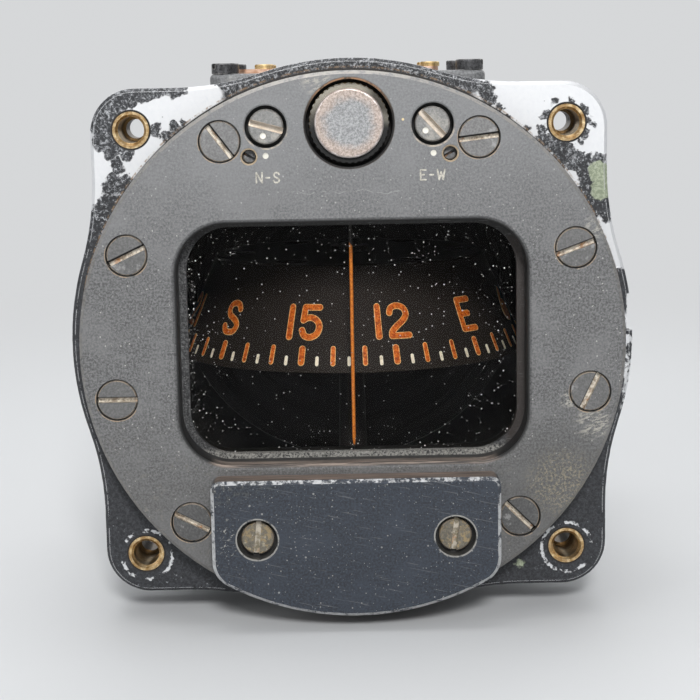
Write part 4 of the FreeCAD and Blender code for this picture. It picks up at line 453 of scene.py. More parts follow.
def case_material():
    """Rough black enamel, chipped to bright cast metal round the flange."""
    s = Shader("case_enamel")
    ragged = s.noise_vector(0.75, 1.1, 5)
    fine = s.noise_vector(2.4, 0.35, 4)
    flat = s.vector("MULTIPLY", s.vector("ADD", ragged, s.vector("SUBTRACT", fine, s.place)),
                    (1, 0, 1))
    insides = [s.math("SUBTRACT", radius, s.vector("DISTANCE", flat, (x, 0, z)))
               for x, z, radius in PAINT_KEPT]
    kept = s.most(*insides)
    ragged_x, _, ragged_z = s.split(ragged)
    side = s.math("ABSOLUTE", ragged_x)
    lowest = s.blend(s.step(s.x, -1, 1), 12, 9.2)
    upper = s.times(s.step(s.math("SUBTRACT", ragged_z, lowest), 0, 1), s.step(side, 17.5, 18.5))
    left_side = s.times(s.step(ragged_x, -38, -38.6), s.step(ragged_z, 8, 9.5))
    right_side = s.times(s.step(ragged_x, 39.7, 40.1), s.band(ragged_z, -13, 3, 1.5),
                         s.patches(0.42, 0.48, 0.5, 4, 0.7))
    bare_zone = s.times(s.most(upper, left_side, right_side), s.invert(s.step(kept, -0.12, 0.12)))
    front = s.step(s.y, 3.6, 3)
    low_edge = s.edges(0.45, 0.02, 0.12)
    chips = s.step(s.total(s.noise(0.42, 5, 0.75), s.times(s.step(s.z, 14, 24), 0.1)), 0.455, 0.485)
    holes = [s.from_point(x + 0.1, -HOLE - 0.25, fine) for x in (-HOLE, HOLE)]
    rings = s.times(s.most(*(s.band(hole, 3.6, 3.9, 0.15) for hole in holes)),
                    s.patches(0.47, 0.52, 0.32, 4, 0.7))
    centre = s.from_point(0, 0)
    bare = s.times(s.most(bare_zone, s.times(low_edge, chips), rings), front,
                   s.step(centre, 36, 38))
    grit = s.noise(2.1, 2, 0.75, None, 0.8)
    coarse = s.noise(0.6, 4, 0.7, None, 0.4)
    crust = s.total(s.times(grit, 0.6), s.times(coarse, 0.4))
    worn_share = s.times(s.step(s.z, 15, 30), front)
    speck_low = s.blend(worn_share, s.blend(s.step(s.z, 6, 14), 0.62, 0.54), 0.43)
    speck_low = s.math("ADD", speck_low, s.times(s.invert(front), 0.045))
    speck = s.step(crust, speck_low, s.math("ADD", speck_low, s.blend(worn_share, 0.1, 0.22)))
    paint = s.mix(s.step(grit, 0.36, 0.66), (0.005, 0.006, 0.008), (0.034, 0.036, 0.042))
    paint = s.over(paint, s.mix(s.step(grit, 0.45, 0.7), (0.13, 0.135, 0.145), (0.5, 0.51, 0.53)),
                   speck, 0.85)
    inner = s.step(centre, 33.6, 32.6)
    paint = s.over(paint, (0.006, 0.006, 0.006), inner, s.step(s.y, 4.9, 5.4))
    olive = s.most(*(s.step(s.vector("DISTANCE", flat, (x, 0, z)), outer, inner)
                     for x, z, outer, inner in OLIVE_SPOTS))
    paint = s.over(paint, s.mix(s.step(grit, 0.4, 0.6), (0.24, 0.28, 0.19), (0.38, 0.42, 0.3)),
                   olive, front, 0.92)
    corners = [(x, z) for x in (-HOLE, HOLE) for z in (-HOLE, HOLE)]
    crevice = s.most(*(s.step(s.from_point(x, z), 3, 2.85) for x, z in corners))
    metal_tone = s.mix(s.noise(1.4, 4, 0.6), (0.6, 0.61, 0.63), (0.69, 0.695, 0.7))
    marks = s.patches(0.6, 0.7, 1, 3, 0.7, s.stretch(2.2, 1, 0.5, 25))
    metal_tone = s.over(metal_tone, (0.52, 0.55, 0.6), marks, 0.3)
    metal_tone = s.over(metal_tone, (0.16, 0.16, 0.17), s.specks(1.2, 0.16, 0.3), 0.7)
    s.tone = s.mix(bare, paint, metal_tone)
    # The dark ring past the cover's edge is painted shade in the gap between cover and flange; the
    # rings round the inserts are dark joints.
    gap = s.step(centre, COVER_RADIUS + 0.45, COVER_RADIUS + 0.2)
    s.lay((0.012, 0.009, 0.007), s.most(gap, crevice), front)
    stain = s.times(s.band(centre, COVER_RADIUS + 0.45, COVER_RADIUS + 0.58, 0.12), front,
                    s.step(s.z, 6, 10), s.patches(0.44, 0.58, 1.1, 4, 0.75))
    s.lay((0.24, 0.15, 0.08), stain, 0.7)
    rough = s.blend(bare, s.total(0.42, s.times(grit, 0.3)), 0.5)
    height = s.total(s.times(s.invert(bare), s.total(1, s.times(crust, 0.8))), s.times(grit, 0.1))
    normal = s.bump(height, 0.12, 0.7)
    return s.coat(s.tone, rough, s.times(bare, 0.55), normal)


def gasket_material():
    s = Shader("fibre")
    tone = s.mix(s.noise(2, 4, 0.7), (0.1, 0.035, 0.02), (0.24, 0.1, 0.06))
    return s.coat(tone, 0.8, 0, s.bump(s.noise(6, 3), 0.03, 0.6))


def rubber_material():
    """Grey-black seal with fine pale specks, paler along the window's sill as dust and painted
    light, and darker across its top as painted shade.
    """
    s = Shader("seal_rubber")
    grit = s.noise(3, 3, 0.8)
    s.tone = s.mix(s.step(grit, 0.4, 0.7), (0.012, 0.012, 0.013), (0.13, 0.13, 0.13))
    dots = s.most(s.specks(2.2, 0.25, 0.3), s.specks(3.4, 0.25, 0.4))
    s.lay((0.55, 0.55, 0.54), dots, 0.75)
    # Paler along the sill: partly dust, partly painted light.
    sill = s.times(s.step(s.z, -15.4, -16.2), s.step(grit, 0.36, 0.6))
    s.lay((0.34, 0.33, 0.3), sill, 0.8)
    right = s.times(s.step(s.x, 22, 23), 0.9)
    s.lay((0.02, 0.014, 0.011), right)
    # Darker across the top: painted shade.
    s.lay((0.012, 0.011, 0.01), s.step(s.z, 14.5, 16), 0.85)
    scratch = s.patches(0.66, 0.7, 1, 2, 0.5, s.stretch(0.5, 0.5, 9))
    s.lay((0.3, 0.3, 0.31), scratch, 0.3)
    return s.coat(s.tone, 0.55, 0, s.bump(grit, 0.05, 0.7))


def brass_material(name, light, dark, stain):
    """Turned brass with tarnish in patches."""
    s = Shader(name)
    cloud = s.noise(0.8, 4, 0.65)
    s.tone = s.mix(s.step(cloud, 0.35, 0.7), dark, light)
    s.lay(stain, s.patches(0.55, 0.68, 1.9, 4, 0.7), 0.7)
    rings = s.noise(1, 2, 0.5, s.stretch(0.3, 14, 0.3))
    s.lay(stain, s.step(rings, 0.45, 0.65), 0.25)
    return s.coat(s.tone, s.total(0.3, s.times(cloud, 0.25)), 1, s.bump(rings, 0.02, 0.5))


def insert_material():
    """Brass inserts with a bright turned mouth and a throat painted black as shade."""
    s = Shader("insert_brass")
    cloud = s.noise(1.1, 4, 0.7)
    s.tone = s.mix(s.step(cloud, 0.35, 0.65), (0.56, 0.37, 0.16), (0.98, 0.8, 0.5))
    rim = s.step(s.y, 0.42, 0.1)
    s.lay((0.3, 0.16, 0.06), rim, s.patches(0.36, 0.6, 0.9, 4, 0.7), 0.75)
    s.lay((0.34, 0.28, 0.14), s.step(s.y, 0.5, 0.9), s.step(s.y, 2.2, 1.4), 0.45)
    # The throat is darkened with depth: painted shade.
    painted_deep_shade = s.step(s.y, 3.2, 6)
    s.lay((0.03, 0.018, 0.01), painted_deep_shade, 0.94)
    turned = s.noise(1, 2, 0.5, s.stretch(0.2, 9, 0.2))
    s.lay((0.3, 0.19, 0.08), s.step(turned, 0.45, 0.65), 0.35)
    return s.coat(s.tone, s.total(0.2, s.times(cloud, 0.22)), 1, s.bump(turned, 0.03, 0.6))


def screw_material(name, head, face_y, slot_low, slot_high, crust=0, slots=()):
    """A painted slotted screw, its slot worn to metal and its rim rusty in places, with painted
    light on heads high up, painted shade on heads low down, a painted sheen, and a painted shadow
    along the upper edge of each slot given in slots.
    """
    s = Shader(name)
    grain = s.noise(3.2, 3, 0.75)

    def shades(low, high):
        return s.mix(s.step(grain, 0.34, 0.68), [c * low for c in head], [c * high for c in head])

    s.tone = shades(0.75, 1.25)
    # Heads higher on the object are made lighter: painted light.
    s.lay(shades(1.4, 2.3), s.step(s.z, 12, 30), 0.6)
    # Heads lower on the object are made darker: painted shade.
    s.lay(shades(0.3, 0.6), s.step(s.z, -8, -22), 0.65)
    # Bright patches on the heads: a painted sheen.
    painted_sheen = s.times(s.patches(0.58, 0.68, 0.5, 4, 0.7), 0.55)
    s.lay([c * 3 for c in head], painted_sheen)
    s.lay((0.5, 0.48, 0.44), s.specks(1.8, 0.2, 0.35), 0.7)
    edge = s.times(s.rounded(0.1, 0.3), s.step(s.y, face_y + 0.3, face_y + 0.2))
    worn = s.times(edge, s.patches(0.36, 0.54, 0.8, 3, 0.7))
    s.lay(s.mix(s.noise(0.6, 2), (0.3, 0.2, 0.12), (0.62, 0.56, 0.48)), worn, 0.9)
    crusty = s.times(s.patches(0.48, 0.6, 1.3, 4, 0.75), crust)
    s.lay((0.3, 0.22, 0.11), crusty)
    slot = s.step(s.y, face_y + 0.1, face_y + 0.3)
    bright = s.mix(s.patches(0.36, 0.6, 1.1, 4, 0.7), slot_low, slot_high)
    bright = s.over(bright, (0.5, 0.24, 0.09), s.patches(0.56, 0.68, 0.5, 3, 0.6), 0.8)
    s.lay(bright, slot)
    # A black band along each slot's upper edge: a painted shadow of the slot wall.
    for x, z, angle in slots:
        turn = math.radians(angle)
        up = s.total(s.times(s.math("SUBTRACT", s.x, x), -math.sin(turn)),
                     s.times(s.math("SUBTRACT", s.z, z), math.cos(turn)))
        painted_slot_shadow = s.times(s.band(up, 0.2, 0.46, 0.06),
                        s.step(s.from_point(x, z), COVER_SCREW_HEAD + 0.2, COVER_SCREW_HEAD))
        s.lay((0.006, 0.005, 0.004), painted_slot_shadow)
    metal = s.most(s.times(worn, 0.6), s.times(slot, 0.35))
    rough = s.blend(slot, s.total(0.38, s.times(grain, 0.2)), 0.45)
    return s.coat(s.tone, rough, metal, s.bump(grain, 0.02, 0.5))


def adjuster_material():
    """Adjuster heads with a white dot each and a slot worn to metal."""
    s = Shader("adjuster_paint")
    face = COVER_FACE_Y + 0.45
    grain = s.noise(4, 4, 0.7)
    s.tone = s.mix(s.step(grain, 0.3, 0.75), (0.16, 0.16, 0.155), (0.3, 0.295, 0.285))
    s.lay((0.46, 0.43, 0.38), s.patches(0.45, 0.7, 0.5, 4, 0.7), 0.5)
    worn = s.times(s.edges(0.2, 0.03, 0.2), s.patches(0.3, 0.5, 0.9, 3, 0.7))
    s.lay((0.55, 0.42, 0.3), worn, 0.9)
    slot = s.step(s.y, face + 0.15, face + 0.4)
    s.lay(s.mix(s.noise(1.2, 4), (0.35, 0.26, 0.17), (0.84, 0.78, 0.7)), slot)
    shaft = s.step(s.y, face + 1.6, face + 1.7)
    s.lay((0.4, 0.3, 0.14), shaft)
    for centre, angle in ((-ADJ_X, -108), (ADJ_X, -137)):
        x = centre + 1.36 * math.cos(math.radians(angle))
        z = ADJ_Z + 1.36 * math.sin(math.radians(angle))
        dot = s.times(s.step(s.from_point(x, z), 0.46, 0.38), s.step(s.y, face + 0.24, face + 0.2))
        s.lay((0.82, 0.8, 0.74), dot)
    metal = s.most(s.times(worn, 0.8), s.times(slot, 0.75))
    return s.coat(s.tone, s.total(0.36, s.times(grain, 0.2)), metal, s.bump(grain, 0.02, 0.5))


def lamp_cap_material():
    """Cap of grey metal, its rim worn pinkish and ringed by a painted highlight, with turned olive
    rings down its side whose lower half is painted black as shadow.
    """
    s = Shader("lamp_cap_metal")
    away = s.from_point(0, LAMP_Z, s.noise_vector(0.9, 0.3))
    grain = s.noise(3.4, 3, 0.85)
    grey = s.mix(s.step(grain, 0.34, 0.68), (0.19, 0.193, 0.198), (0.42, 0.425, 0.43))
    pink = s.mix(s.step(grain, 0.34, 0.68), (0.28, 0.23, 0.2), (0.56, 0.47, 0.42))
    patchy = s.times(s.noise(0.55, 4, 0.75), 2.6)
    ring = s.step(s.total(away, patchy), 3.9, 5.6)
    s.tone = s.mix(ring, grey, pink)
    smudge = s.times(s.patches(0.56, 0.66, 0.9, 4, 0.75), s.step(away, 4.6, 3.8))
    s.lay((0.16, 0.165, 0.17), smudge, 0.45)
    # A bright ring at the face's edge: painted highlight.
    lip = s.step(away, 4.66, 4.8)
    s.lay((0.78, 0.71, 0.68), lip)
    pits = s.most(s.specks(1.3, 0.14, 0.3), s.specks(2.4, 0.2, 0.25))
    s.lay((0.1, 0.08, 0.07), pits, 0.6)
    skirt = s.step(s.y, -3.85, -3.65)
    turned = s.patches(0.42, 0.58, 1, 2, 0.6, s.stretch(0.1, 2.4, 0.1))
    olive = s.mix(turned, (0.05, 0.044, 0.034), (0.32, 0.3, 0.25))
    # The side's lower half is painted black as shadow.
    olive = s.over(olive, (0.003, 0.003, 0.003), s.step(s.z, LAMP_Z + 1.5, LAMP_Z - 1))
    s.lay(olive, skirt)
    lines = s.noise(1, 2, 0.5, s.stretch(0.3, 10, 0.3))
    normal = s.bump(s.total(grain, s.times(lines, 0.5)), 0.035, 0.6)
    metal = s.blend(skirt, s.total(0.25, s.times(ring, 0.4)), 0.3)
    return s.coat(s.tone, s.total(0.34, s.times(grain, 0.22)), metal, normal)


def housing_material():
    s = Shader("housing_casting")
    grain = s.noise(2.6, 5, 0.75)
    cloud = s.noise(0.35, 4, 0.65)
    s.tone = s.mix(s.step(grain, 0.3, 0.7), (0.1, 0.103, 0.108), (0.26, 0.265, 0.27))
    s.lay((0.4, 0.4, 0.39), s.step(cloud, 0.5, 0.68), 0.6)
    worn = s.times(s.edges(0.5, 0.02, 0.18), s.patches(0.4, 0.56, 0.7, 4, 0.7))
    s.lay((0.6, 0.6, 0.59), worn, 0.8)
    s.lay((0.02, 0.02, 0.02), s.specks(1.3, 0.2, 0.3), 0.7)
    return s.coat(s.tone, s.total(0.42, s.times(grain, 0.2)), s.times(worn, 0.6),
                  s.bump(grain, 0.06, 0.7))


def plate_material():
    s = Shader("plate_copper")
    cloud = s.noise(0.5, 4, 0.7)
    s.tone = s.mix(s.step(cloud, 0.35, 0.65), (0.4, 0.23, 0.15), (0.62, 0.44, 0.34))
    s.lay((0.3, 0.14, 0.08), s.patches(0.56, 0.66, 1.4, 4, 0.7), 0.6)
    lines = s.noise(1, 2, 0.5, s.stretch(0.3, 9, 0.3))
    return s.coat(s.tone, s.total(0.36, s.times(cloud, 0.2)), 0.9, s.bump(lines, 0.02, 0.5))


def dark_screw_material():
    s = Shader("dark_steel_screw")
    grain = s.noise(3, 4, 0.7)
    s.tone = s.mix(s.step(grain, 0.3, 0.7), (0.03, 0.03, 0.032), (0.12, 0.12, 0.125))
    worn = s.times(s.edges(0.2, 0.03, 0.2), s.patches(0.4, 0.55, 0.9, 3))
    s.lay((0.55, 0.53, 0.5), worn, 0.9)
    return s.coat(s.tone, s.total(0.2, s.times(grain, 0.2)), 0.7, s.bump(grain, 0.02, 0.5))


def plain_metal(name, light, dark, rough=0.3):
    s = Shader(name)
    grain = s.noise(2, 4, 0.65)
    tone = s.mix(s.step(grain, 0.3, 0.7), dark, light)
    fine = s.noise(9, 3, 0.6)
    return s.coat(tone, s.total(rough, s.times(fine, 0.15)), 1, s.bump(fine, 0.01, 0.5))


def moulded_material(name, light, dark, rough=0.5):
    s = Shader(name)
    grain = s.noise(2.4, 4, 0.65)
    tone = s.mix(s.step(grain, 0.3, 0.7), dark, light)
    return s.coat(tone, s.total(rough, s.times(grain, 0.15)), 0, s.bump(s.noise(7, 3), 0.02, 0.5))


def card_material():
    """Matt black card, faintly brown, with dust."""
    s = Shader("card_black")
    grain = s.noise(1.6, 4, 0.7)
    s.tone = s.mix(s.step(grain, 0.3, 0.75), (0.0102, 0.0072, 0.0056), (0.0152, 0.0112, 0.0086))
    dust = s.most(s.specks(1.1, 0.12, 0.14), s.specks(0.5, 0.07, 0.2))
    s.lay((0.2, 0.19, 0.17), dust, 0.3)
    return s.coat(s.tone, s.total(0.62, s.times(grain, 0.2)), 0, s.bump(grain, 0.02, 0.4),
                  specular_ior_level=0.25)


def paint_material(name, light, dark, pit):
    """Brushed marking paint with fine dark pits."""
    s = Shader(name)
    grain = s.noise(2.4, 2, 0.75)
    s.tone = s.mix(s.step(grain, 0.4, 0.6), dark, light)
    pits = s.most(s.specks(2, 0.3, 0.45), s.patches(0.54, 0.62, 1.7, 2, 0.75))
    s.lay(pit, pits, 0.7)
    return s.coat(s.tone, 0.55, 0, s.bump(grain, 0.02, 0.6), specular_ior_level=0.2)


def lubber_material():
    """Orange paint on the wire's middle, black above and below."""
    s = Shader("lubber_paint")
    grain = s.noise(3.6, 3, 0.8)
    s.tone = s.mix(s.step(grain, 0.34, 0.6), (0.44, 0.1, 0.006), (0.72, 0.24, 0.02))
    ragged = s.total(s.z, s.times(s.x, 1.2))
    ends = s.most(s.step(ragged, 13.7, 14), s.step(s.z, -16.4, -16.7))
    s.lay((0.004, 0.004, 0.004), ends)
    return s.coat(s.tone, 0.5, 0, s.bump(grain, 0.02, 0.6))


def glass_material():
    """Clear flat glass with a thin film, dust that gathers at the edges and short scratches."""
    s = Shader("window_glass")
    across, _, up = s.split(s.vector("ABSOLUTE", s.vector("SUBTRACT", s.place, (0, 0, WINDOW_Z))))
    edge = s.most(s.step(across, 15, 24), s.step(up, 10, 16.5))
    cloud = s.noise(0.22, 3, 0.6)
    gather = s.times(s.total(edge, 0.22), s.step(cloud, 0.34, 0.62))
    fine = s.times(s.specks(1.9, 0.27, 0.8), s.step(gather, 0.06, 0.6))
    middle = s.times(s.specks(1.1, 0.16, 0.6), s.total(0.45, s.times(gather, 0.5)))
    coarse = s.times(s.specks(0.5, 0.09, 0.4), s.total(0.55, s.times(edge, 0.4)))
    heavy = s.times(s.patches(0.58, 0.7, 3.2, 3, 0.8), s.step(across, 22.2, 24.3),
                    s.step(s.x, 0, -1))
    hair = s.times(s.patches(0.69, 0.715, 1, 2, 0.6, s.stretch(0.6, 1, 6.5, 14)),
                   s.step(s.from_point(*GLASS_SCRATCH), 3.4, 1.8))
    dust = s.most(s.times(fine, 0.75), middle, coarse, s.times(heavy, 0.6), s.times(hair, 0.6))
    front = s.step(s.y, 1.2, 0.9)
    dust = s.times(dust, front)
    film = s.times(front, s.total(0.002, s.times(cloud, 0.006)))
    fresnel = s.node("Fresnel")
    fresnel.inputs["IOR"].default_value = 1.11
    dull = s.step(s.most(dust, film), 0.006, 0.02)
    tone = s.mix(dull, (0.9, 0.92, 0.95), (0.8, 0.78, 0.76))
    surface = s.surface(tone, s.blend(dull, 0.03, 0.7), s.invert(dull))
    clear = s.node("BsdfTransparent")
    clear.inputs[0].default_value = (0.96, 0.945, 0.93, 1)
    share = s.most(dust, film, s.times(fresnel.outputs[0], s.invert(dull)))
    return s.done(s.join(share, clear.outputs[0], surface))


def clear_material(name, tint):
    s = Shader(name)
    return s.coat(tint, s.total(0.03, s.times(s.noise(3), 0.05)), 0, None, transmission_weight=1,
                  ior=1.45)


# Marks and figures, as strokes in millimetres from the lower left of the centre line

CURVED = {
    "2": [[(0, 3.7), (0.3, 4.45), (1.3, 4.8), (2.4, 4.4), (2.75, 3.45), (2.2, 2.5), (0.95, 1.5),
           (0.2, 0.7), (0.08, 0)]],
    "3": [[(0.1, 4.1), (0.7, 4.65), (1.5, 4.8), (2.35, 4.4), (2.5, 3.5), (2, 2.75), (1.15, 2.5)],
          [(1.15, 2.5), (2.2, 2.25), (2.75, 1.4), (2.4, 0.4), (1.4, 0), (0.45, 0.2), (0, 0.95)]],
    "5": [[(0.1, 2.7), (0.8, 3.1), (1.75, 3.05), (2.55, 2.4), (2.75, 1.5), (2.35, 0.5), (1.4, 0),
           (0.45, 0.25), (0, 1.1)]],
    "6": [[(2.2, 4.8), (1.15, 3.9), (0.3, 2.5), (0, 1.4), (0.4, 0.35), (1.4, 0), (2.4, 0.4),
           (2.75, 1.4), (2.3, 2.45), (1.4, 2.8), (0.45, 2.4), (0.05, 1.6)]],
    "0": [[(1.4, 4.8), (0.45, 4.2), (0, 2.4), (0.45, 0.6), (1.4, 0), (2.35, 0.6), (2.8, 2.4),
           (2.35, 4.2), (1.4, 4.8)]],
    "S": [[(2.7, 3.9), (2.2, 4.6), (1.35, 4.8), (0.45, 4.45), (0.15, 3.6), (0.6, 2.8), (1.5, 2.35),
           (2.4, 1.8), (2.75, 1.05), (2.25, 0.2), (1.35, 0), (0.5, 0.15), (0, 0.95)]],
}
STRAIGHT = {
    "1": [[(0, 0), (0, 4.8)]],
    "2": [[(0.08, 0), (2.8, 0)]],
    "4": [[(2.1, 0), (2.1, 4.8), (0, 1.4), (2.9, 1.4)]],
    "5": [[(2.7, 4.8), (0.25, 4.8), (0.1, 2.7)]],
    "N": [[(0, 0), (0, 4.8), (2.8, 0), (2.8, 4.8)]],
    "E": [[(2.6, 0), (0, 0), (0, 4.8), (2.6, 4.8)], [(0, 2.5), (1.8, 2.5)]],
    "W": [[(0, 4.8), (0.85, 0), (1.8, 3.6), (2.75, 0), (3.6, 4.8)]],
    "-": [[(0.3, 2.4), (1.9, 2.4)]],
}
GLYPH_WIDTH = {"1": 0, "N": 2.8, "W": 3.6, "E": 2.6, "-": 2.2, "4": 2.9, "0": 2.8}
CURVE_STEPS = 5
CAP_POINTS = 8

# The card's marks in millimetres: heights up its slope, half widths and gaps
FIGURE_LOW = 5.6
TICK_LOW = 1.05
LONG_TICK = 3.2
SHORT_TICK = 1.55
LONG_HALF = 0.365
MAIN_HALF = 0.49
SHORT_HALF = 0.24
FIGURE_HALF = 0.52
RIM = 0.09
FIGURE_GAP = 2
MARK_DEPTH = 0.06

# The corrector labels with their places along X, and their size
LABELS = {"N-S": -11.65, "E-W": 11.72}
LABEL_SIZE = 0.29
LABEL_GAP = 1.7
LABEL_HALF = 0.115


def smooth_line(points):
    """Points along a smooth curve through the given ones."""
    ends = [points[0]] + points + [points[-1]]
    line = []
    for a, b, c, d in zip(ends, ends[1:], ends[2:], ends[3:]):
        for number in range(CURVE_STEPS):
            t = number / CURVE_STEPS
            line.append(tuple(0.5 * (2 * q + (r - p) * t + (2 * p - 5 * q + 4 * r - w) * t * t
                                     + (3 * q - p - 3 * r + w) * t ** 3)
                              for p, q, r, w in zip(a, b, c, d)))
    return line + [points[-1]]


def glyph_strokes(letter):
    return [smooth_line(line) for line in CURVED.get(letter, [])] + STRAIGHT.get(letter, [])


def words(text, gap):
    """Strokes of a word, centred on its middle."""
    strokes = []
    start = 0
    for letter in text:
        strokes += [[(x + start, y) for x, y in line] for line in glyph_strokes(letter)]
        start += GLYPH_WIDTH.get(letter, 2.75) + gap
    middle = (start - gap) / 2
    return [[(x - middle, y) for x, y in line] for line in strokes]


def capsule(a, b, radius):
    """Outline of one straight run with round ends."""
    angle = math.atan2(b[1] - a[1], b[0] - a[0])
    outline = []
    for centre, start in ((b, angle - math.pi / 2), (a, angle + math.pi / 2)):
        for number in range(CAP_POINTS + 1):
            turn = start + math.pi * number / CAP_POINTS
            outline.append((centre[0] + radius * math.cos(turn),
                            centre[1] + radius * math.sin(turn)))
    return outline


def subdivided(a, b, longest=0.6):
    count = max(1, math.ceil(math.dist(a, b) / longest))
    return [(a[0] + (b[0] - a[0]) * i / count,
             a[1] + (b[1] - a[1]) * i / count) for i in range(count + 1)]


def flat_marks(strokes, radius):
    """Triangles of all strokes joined into one flat shape."""
    corners = []
    faces = []
    for line in strokes:
        for a, b in zip(line, line[1:]):
            run = subdivided(a, b)
            for p, q in zip(run, run[1:]):
                outline = capsule(p, q, radius)
                faces.append(list(range(len(corners), len(corners) + len(outline))))
                corners += [Vector(point) for point in outline]
    points, _, triangles, _, _, _ = delaunay_2d_cdt(corners, [], faces, 1, 1e-5)
    return [tuple(point) for point in points], [tuple(t) for t in triangles]


def raised_marks(name, shapes, material, body):
    """One mesh of thin raised marks: each shape has points, triangles and two placers."""
    vertices = []
    faces = []
    for points, triangles, top, foot in shapes:
        base = len(vertices)
        count = len(points)
        vertices += [top(*point) for point in points] + [foot(*point) for point in points]
        seen = {}
        for triangle in triangles:
            faces.append([base + v for v in triangle])
            faces.append([base + count + v for v in reversed(triangle)])
            for a, b in zip(triangle, triangle[1:] + triangle[:1]):
                seen[(a, b)] = True
        for a, b in seen:
            if (b, a) not in seen:
                faces.append([base + b, base + a, base + count + a, base + count + b])
    mesh = bpy.data.meshes.new(name)
    mesh.from_pydata([[c * MM for c in v] for v in vertices], [], faces)
    mesh.materials.append(material)
    mesh.validate()
    mesh.update()
    piece = add_object(name, mesh)
    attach(piece, body)
    return piece


def on_card(azimuth, lift):
    """Places (right, up the slope) on the card's skirt at an azimuth in degrees, lifted off it."""
    rise = CARD_TOP_Z - CARD_LOW_Z
    run = CARD_LOW_RADIUS - CARD_TOP_RADIUS
    slope = math.hypot(rise, run)

    def place(u, v):
        z = CARD_LOW_Z + v * rise / slope + lift * run / slope
        radius = CARD_LOW_RADIUS - v * run / slope + lift * rise / slope
        angle = math.radians(azimuth) + u / (CARD_LOW_RADIUS - FIGURE_LOW * run / slope)
        return (radius * math.sin(angle), CARD_Y - radius * math.cos(angle), z)
    return place


FIGURES = {0: "N", 30: "3", 60: "6", 90: "E", 120: "12", 150: "15", 180: "S", 210: "21",
           240: "24", 270: "W", 300: "30", 330: "33"}


def card_marks(orange, cream, pale):
    """Figures, orange ticks with pale outlines every ten degrees and cream ones between."""
    outline = []
    core = []
    minor = []

    def add(shapes, strokes, radius, azimuth, lift):
        points, triangles = flat_marks(strokes, radius)
        shapes.append((points, triangles, on_card(azimuth, lift),
                       on_card(azimuth, lift - MARK_DEPTH)))

    for bearing in range(0, 360, 5):
        azimuth = CARD_HEADING - bearing
        if bearing % 10 == 0:
            half = MAIN_HALF if bearing % 30 == 0 else LONG_HALF
            line = [[(0, TICK_LOW + half), (0, TICK_LOW + LONG_TICK - half)]]
            add(outline, line, half, azimuth, 0.03)
            add(core, line, half - RIM, azimuth, 0.05)
        else:
            add(minor, [[(0, TICK_LOW + SHORT_HALF), (0, TICK_LOW + SHORT_TICK - SHORT_HALF)]],
                SHORT_HALF, azimuth, 0.04)
        if bearing in FIGURES:
            lines = words(FIGURES[bearing], FIGURE_GAP)
            strokes = [[(x, y + FIGURE_LOW) for x, y in line] for line in lines]
            add(outline, strokes, FIGURE_HALF, azimuth, 0.03)
            add(core, strokes, FIGURE_HALF - RIM, azimuth, 0.05)
    raised_marks("card_mark_outlines", outline, pale, "card")
    raised_marks("card_marks", core, orange, "card")
    raised_marks("card_minor_ticks", minor, cream, "card")


def cover_labels(cream):
    """The two corrector labels on the cover."""
    shapes = []
    for text, x in LABELS.items():
        lines = words(text, LABEL_GAP)
        strokes = [[(a * LABEL_SIZE, b * LABEL_SIZE) for a, b in line] for line in lines]
        points, triangles = flat_marks(strokes, LABEL_HALF)

        def top(u, v, x=x):
            return (x + u, COVER_FACE_Y - 0.015, LABEL_Z + v)

        def foot(u, v, x=x):
            return (x + u, COVER_FACE_Y + 0.03, LABEL_Z + v)
        shapes.append((points, triangles, top, foot))
    raised_marks("cover_labels", shapes, cream, "case")


# Floor, lights and camera

PAPER = (0.64, 0.65, 0.66)
BACKDROP_LEVEL = 1.05
FLOOR_FRONT = -1.6
FLOOR_DEPTH = 0.9
FLOOR_HALF = 1.8
BACKDROP_BEND = 0.35
BACKDROP_HEIGHT = 1.8
# Name, place, target, size in metres and power of each lamp
LAMPS = [("key", (0.04, -0.7, 0.4), (0, 0, 0), (0.15, 0.15), 4.9),
         ("top", (-0.05, 0.1, 0.75), (0, 0.02, 0), (0.6, 0.5), 2.6),
         ("left", (-0.7, -0.5, 0.25), (0, 0, 0), (0.3, 0.5), 1.1),
         ("back", (0.1, 0.75, 0.6), (0, 0.03, 0), (0.9, 0.4), 2.6)]
# The world's colour, and two heights of its direction with the levels between which it rises
SKY = (0.88, 0.9, 0.92)
SKY_RISE = (-0.3, 0.9, 0.12, 0.42)


def stage():
    """Pale floor that curves up into a backdrop."""
    profile = [(FLOOR_FRONT, 0), (FLOOR_DEPTH, 0)]
    turns = [math.radians(6 * n) for n in range(1, 16)]
    profile += [(FLOOR_DEPTH + BACKDROP_BEND * math.sin(a), BACKDROP_BEND * (1 - math.cos(a)))
                for a in turns]
    profile.append((FLOOR_DEPTH + BACKDROP_BEND, BACKDROP_HEIGHT))
    vertices = []
    for y, z in profile:
        vertices += [(x, y, z + FLOOR_Z * MM) for x in (-FLOOR_HALF, FLOOR_HALF)]
    faces = [(2 * n, 2 * n + 1, 2 * n + 3, 2 * n + 2) for n in range(len(profile) - 1)]
    mesh = bpy.data.meshes.new("floor")
    mesh.from_pydata(vertices, [], faces)
    for face in mesh.polygons:
        face.use_smooth = True
    s = Shader("floor_paper")
    plain = s.surface(PAPER, 0.9)
    lit = s.glow("Emission", PAPER, BACKDROP_LEVEL)
    far = s.step(s.vector("LENGTH", s.vector("MULTIPLY", s.place, (1, 1, 0))), 150, 420)
    mesh.materials.append(s.done(s.join(s.times(s.seen(), far), plain, lit)))
    floor = add_object("floor", mesh)


def area_light(name, place, target, size, power):
    data = bpy.data.lights.new(name, "AREA")
    data.shape = "RECTANGLE"
    data.size, data.size_y = size
    data.energy = power
    lamp = add_object(name, data)
    lamp.location = place
    lamp.rotation_euler = (Vector(target) - Vector(place)).to_track_quat("-Z", "Y").to_euler()


